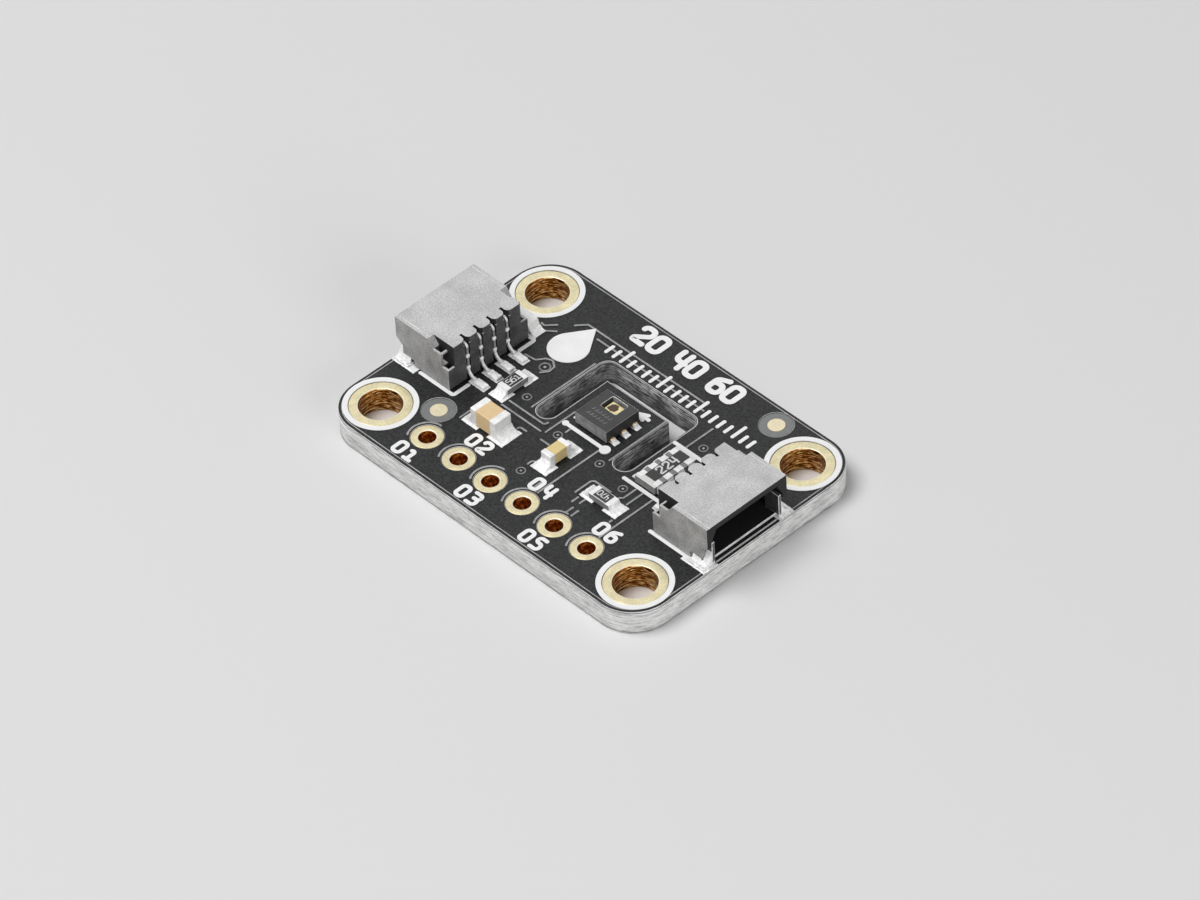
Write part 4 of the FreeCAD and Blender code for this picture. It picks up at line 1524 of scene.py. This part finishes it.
def code_on(node, text, height, step, stroke, turn):
    """Prints a plain number on the middle of a coating, turned by an angle in degrees."""
    low, high = box_mm(node)
    middle = (low + high) / 2
    angle = math.radians(turn)
    along = (len(text) - 1) * step + digit_width * height
    x = middle.x - along / 2 * math.cos(angle) + height / 2 * math.sin(angle)
    y = middle.y - along / 2 * math.sin(angle) - height / 2 * math.cos(angle)
    line_piece(
        node + "_code",
        number_lines(text, x, y, height, step, turn),
        stroke,
        code_rise,
        code_ink,
        base=high.z,
        bend=0.06,
    )


def chip_finish(face, rim):
    """The upper face of the ceramic is pale, and the rest of it gets the darker copy of painted
    shade.
    """
    return alumina if face.normal.z > 0.5 else shaded_alumina_side


for place in ("left_resistor", "front_resistor", "resistor_array"):
    softened_copy(
        place + "_chip",
        place + "_ceramic",
        [alumina, shaded_alumina_side],
        resistor_edge_width,
        chip_finish,
    )
    coating = place + "_coating"
    softened_copy(place + "_glaze", coating, [glaze], resistor_edge_width)
code_on("left_resistor_coating", "561", height=0.4, step=0.3, stroke=0.06, turn=90)
code_on("front_resistor_coating", "470", height=0.36, step=0.27, stroke=0.06, turn=180)
code_on("resistor_array_coating", "224", height=0.55, step=0.5, stroke=0.11, turn=90)

# Between the array's terminals the ceramic is painted dark as shade.
array_low, array_high = box_mm("resistor_array_ceramic")
array_middle = (array_low + array_high) / 2
array_gap_shades = []
for side in (-1, 1):
    outer_x = array_middle.x + side * (array_high.x - array_middle.x - resistor_edge_width)
    inner_x = outer_x - side * array_gap_length
    for index in (-1, 0, 1):
        y = array_middle.y + index * array_pitch
        low_y, high_y = y - array_gap_width / 2, y + array_gap_width / 2
        gap = [(outer_x, low_y), (outer_x, high_y), (inner_x, high_y), (inner_x, low_y)]
        array_gap_shades.append((gap, array_high.z, array_gap_rise))
patch_piece("array_gap_shades", array_gap_shades, shaded_alumina_side)


# Indicator lamp
# A white chip lamp: a pale base with a clear milky resin lens.
# It is soldered flat behind the left socket, by the plated ends of its base.
indicator_base_colour = (0.84, 0.88, 0.82)
indicator_resin_colour = (0.93, 0.94, 0.92)

indicator_board = grained_material(
    "indicator_base", indicator_base_colour, roughness=0.5, grain=0.06, blotch=0.4,
    swings=(0.05, 0.05), bump=0.002,
)
indicator_resin = grained_material(
    "indicator_resin", indicator_resin_colour, roughness=0.25, grain=0.08, blotch=0.5,
    swings=(0.03, 0.03), bump=0.002,
)
softened_copy("indicator_board", "indicator_base", [indicator_board], width=0.02)
softened_copy("indicator_dome", "indicator_lens", [indicator_resin], width=0.05)


# Lights, floor and camera
# Soft studio light from above, a pale floor, and a long lens that looks down on the pin row.
# The world shows plain white to the camera and in reflections, and lights the part only dimly.
floor_reach = 2
floor_z = -0.00002
floor_colour = (0.78, 0.78, 0.78, 1)
world_colour = (1, 1, 1, 1)
ambient_strength = 0.22
backdrop_strength = 1.0
camera_azimuth = math.radians(48.71)
camera_elevation = math.radians(43.27)
camera_roll = math.radians(-3.51)
camera_distance = 0.4081
camera_target = Vector((0.00004, 0.0006, 0.0))
camera_lens = 222.1
camera_film = 36

floor_mesh = bpy.data.meshes.new("floor")
floor_corners = [
    (x * floor_reach, y * floor_reach, floor_z) for x, y in ((-1, -1), (1, -1), (1, 1), (-1, 1))
]
floor_mesh.from_pydata(floor_corners, [], [(0, 1, 2, 3)])
floor = bpy.data.objects.new("floor", floor_mesh)
bpy.context.scene.collection.objects.link(floor)
floor_finish = {"Base Color": floor_colour, "Roughness": 0.9}
floor_mesh.materials.append(plain_material("pale_floor", floor_finish)[0])

world = bpy.data.worlds.new("studio")
bpy.context.scene.world = world
world.use_nodes = True
sky = world.node_tree
sky.nodes.clear()
ambient, backdrop = [
    add_node(sky, "ShaderNodeBackground", {"Color": world_colour, "Strength": strength})
    for strength in (ambient_strength, backdrop_strength)
]
rays = add_node(sky, "ShaderNodeLightPath").outputs
seen = math_node(sky, "MAXIMUM", rays["Is Camera Ray"], rays["Is Glossy Ray"])
seen_or_through = math_node(sky, "MAXIMUM", seen, rays["Is Transmission Ray"])
mixed = {"Fac": seen_or_through, 1: ambient.outputs[0], 2: backdrop.outputs[0]}
mixer = add_node(sky, "ShaderNodeMixShader", mixed)
add_node(sky, "ShaderNodeOutputWorld", {"Surface": mixer.outputs["Shader"]})


def soft_box(name, place, size, power):
    """A square lamp that points at the part."""
    lamp = bpy.data.lights.new(name, "AREA")
    lamp.size = size
    lamp.energy = power
    holder = bpy.data.objects.new(name, lamp)
    holder.location = place
    holder.rotation_euler = (-Vector(place)).to_track_quat("-Z", "Y").to_euler()
    bpy.context.scene.collection.objects.link(holder)


soft_box("key_light", (-0.13, -0.16, 0.48), size=0.30, power=1.85)
soft_box("front_light", (-0.05, -0.45, 0.18), size=0.20, power=0.12)
soft_box("side_light", (0.40, -0.06, 0.13), size=0.20, power=0.55)

back = Vector(
    (
        math.sin(camera_azimuth) * math.cos(camera_elevation),
        -math.cos(camera_azimuth) * math.cos(camera_elevation),
        math.sin(camera_elevation),
    )
)
level_right = Vector((math.cos(camera_azimuth), math.sin(camera_azimuth), 0))
level_up = back.cross(level_right)
right = level_right * math.cos(camera_roll) + level_up * math.sin(camera_roll)
up = level_up * math.cos(camera_roll) - level_right * math.sin(camera_roll)
camera_data = bpy.data.cameras.new("photo_view")
camera_data.lens = camera_lens
camera_data.sensor_width = camera_film
camera_data.sensor_fit = "HORIZONTAL"
camera_data.clip_start = 0.01
camera_data.clip_end = 10
camera = bpy.data.objects.new("photo_view", camera_data)
turn = Matrix((right, up, back)).transposed().to_4x4()
camera.matrix_world = Matrix.Translation(camera_target + back * camera_distance) @ turn
bpy.context.scene.collection.objects.link(camera)
bpy.context.scene.camera = camera
bpy.context.scene.view_settings.view_transform = "Standard"
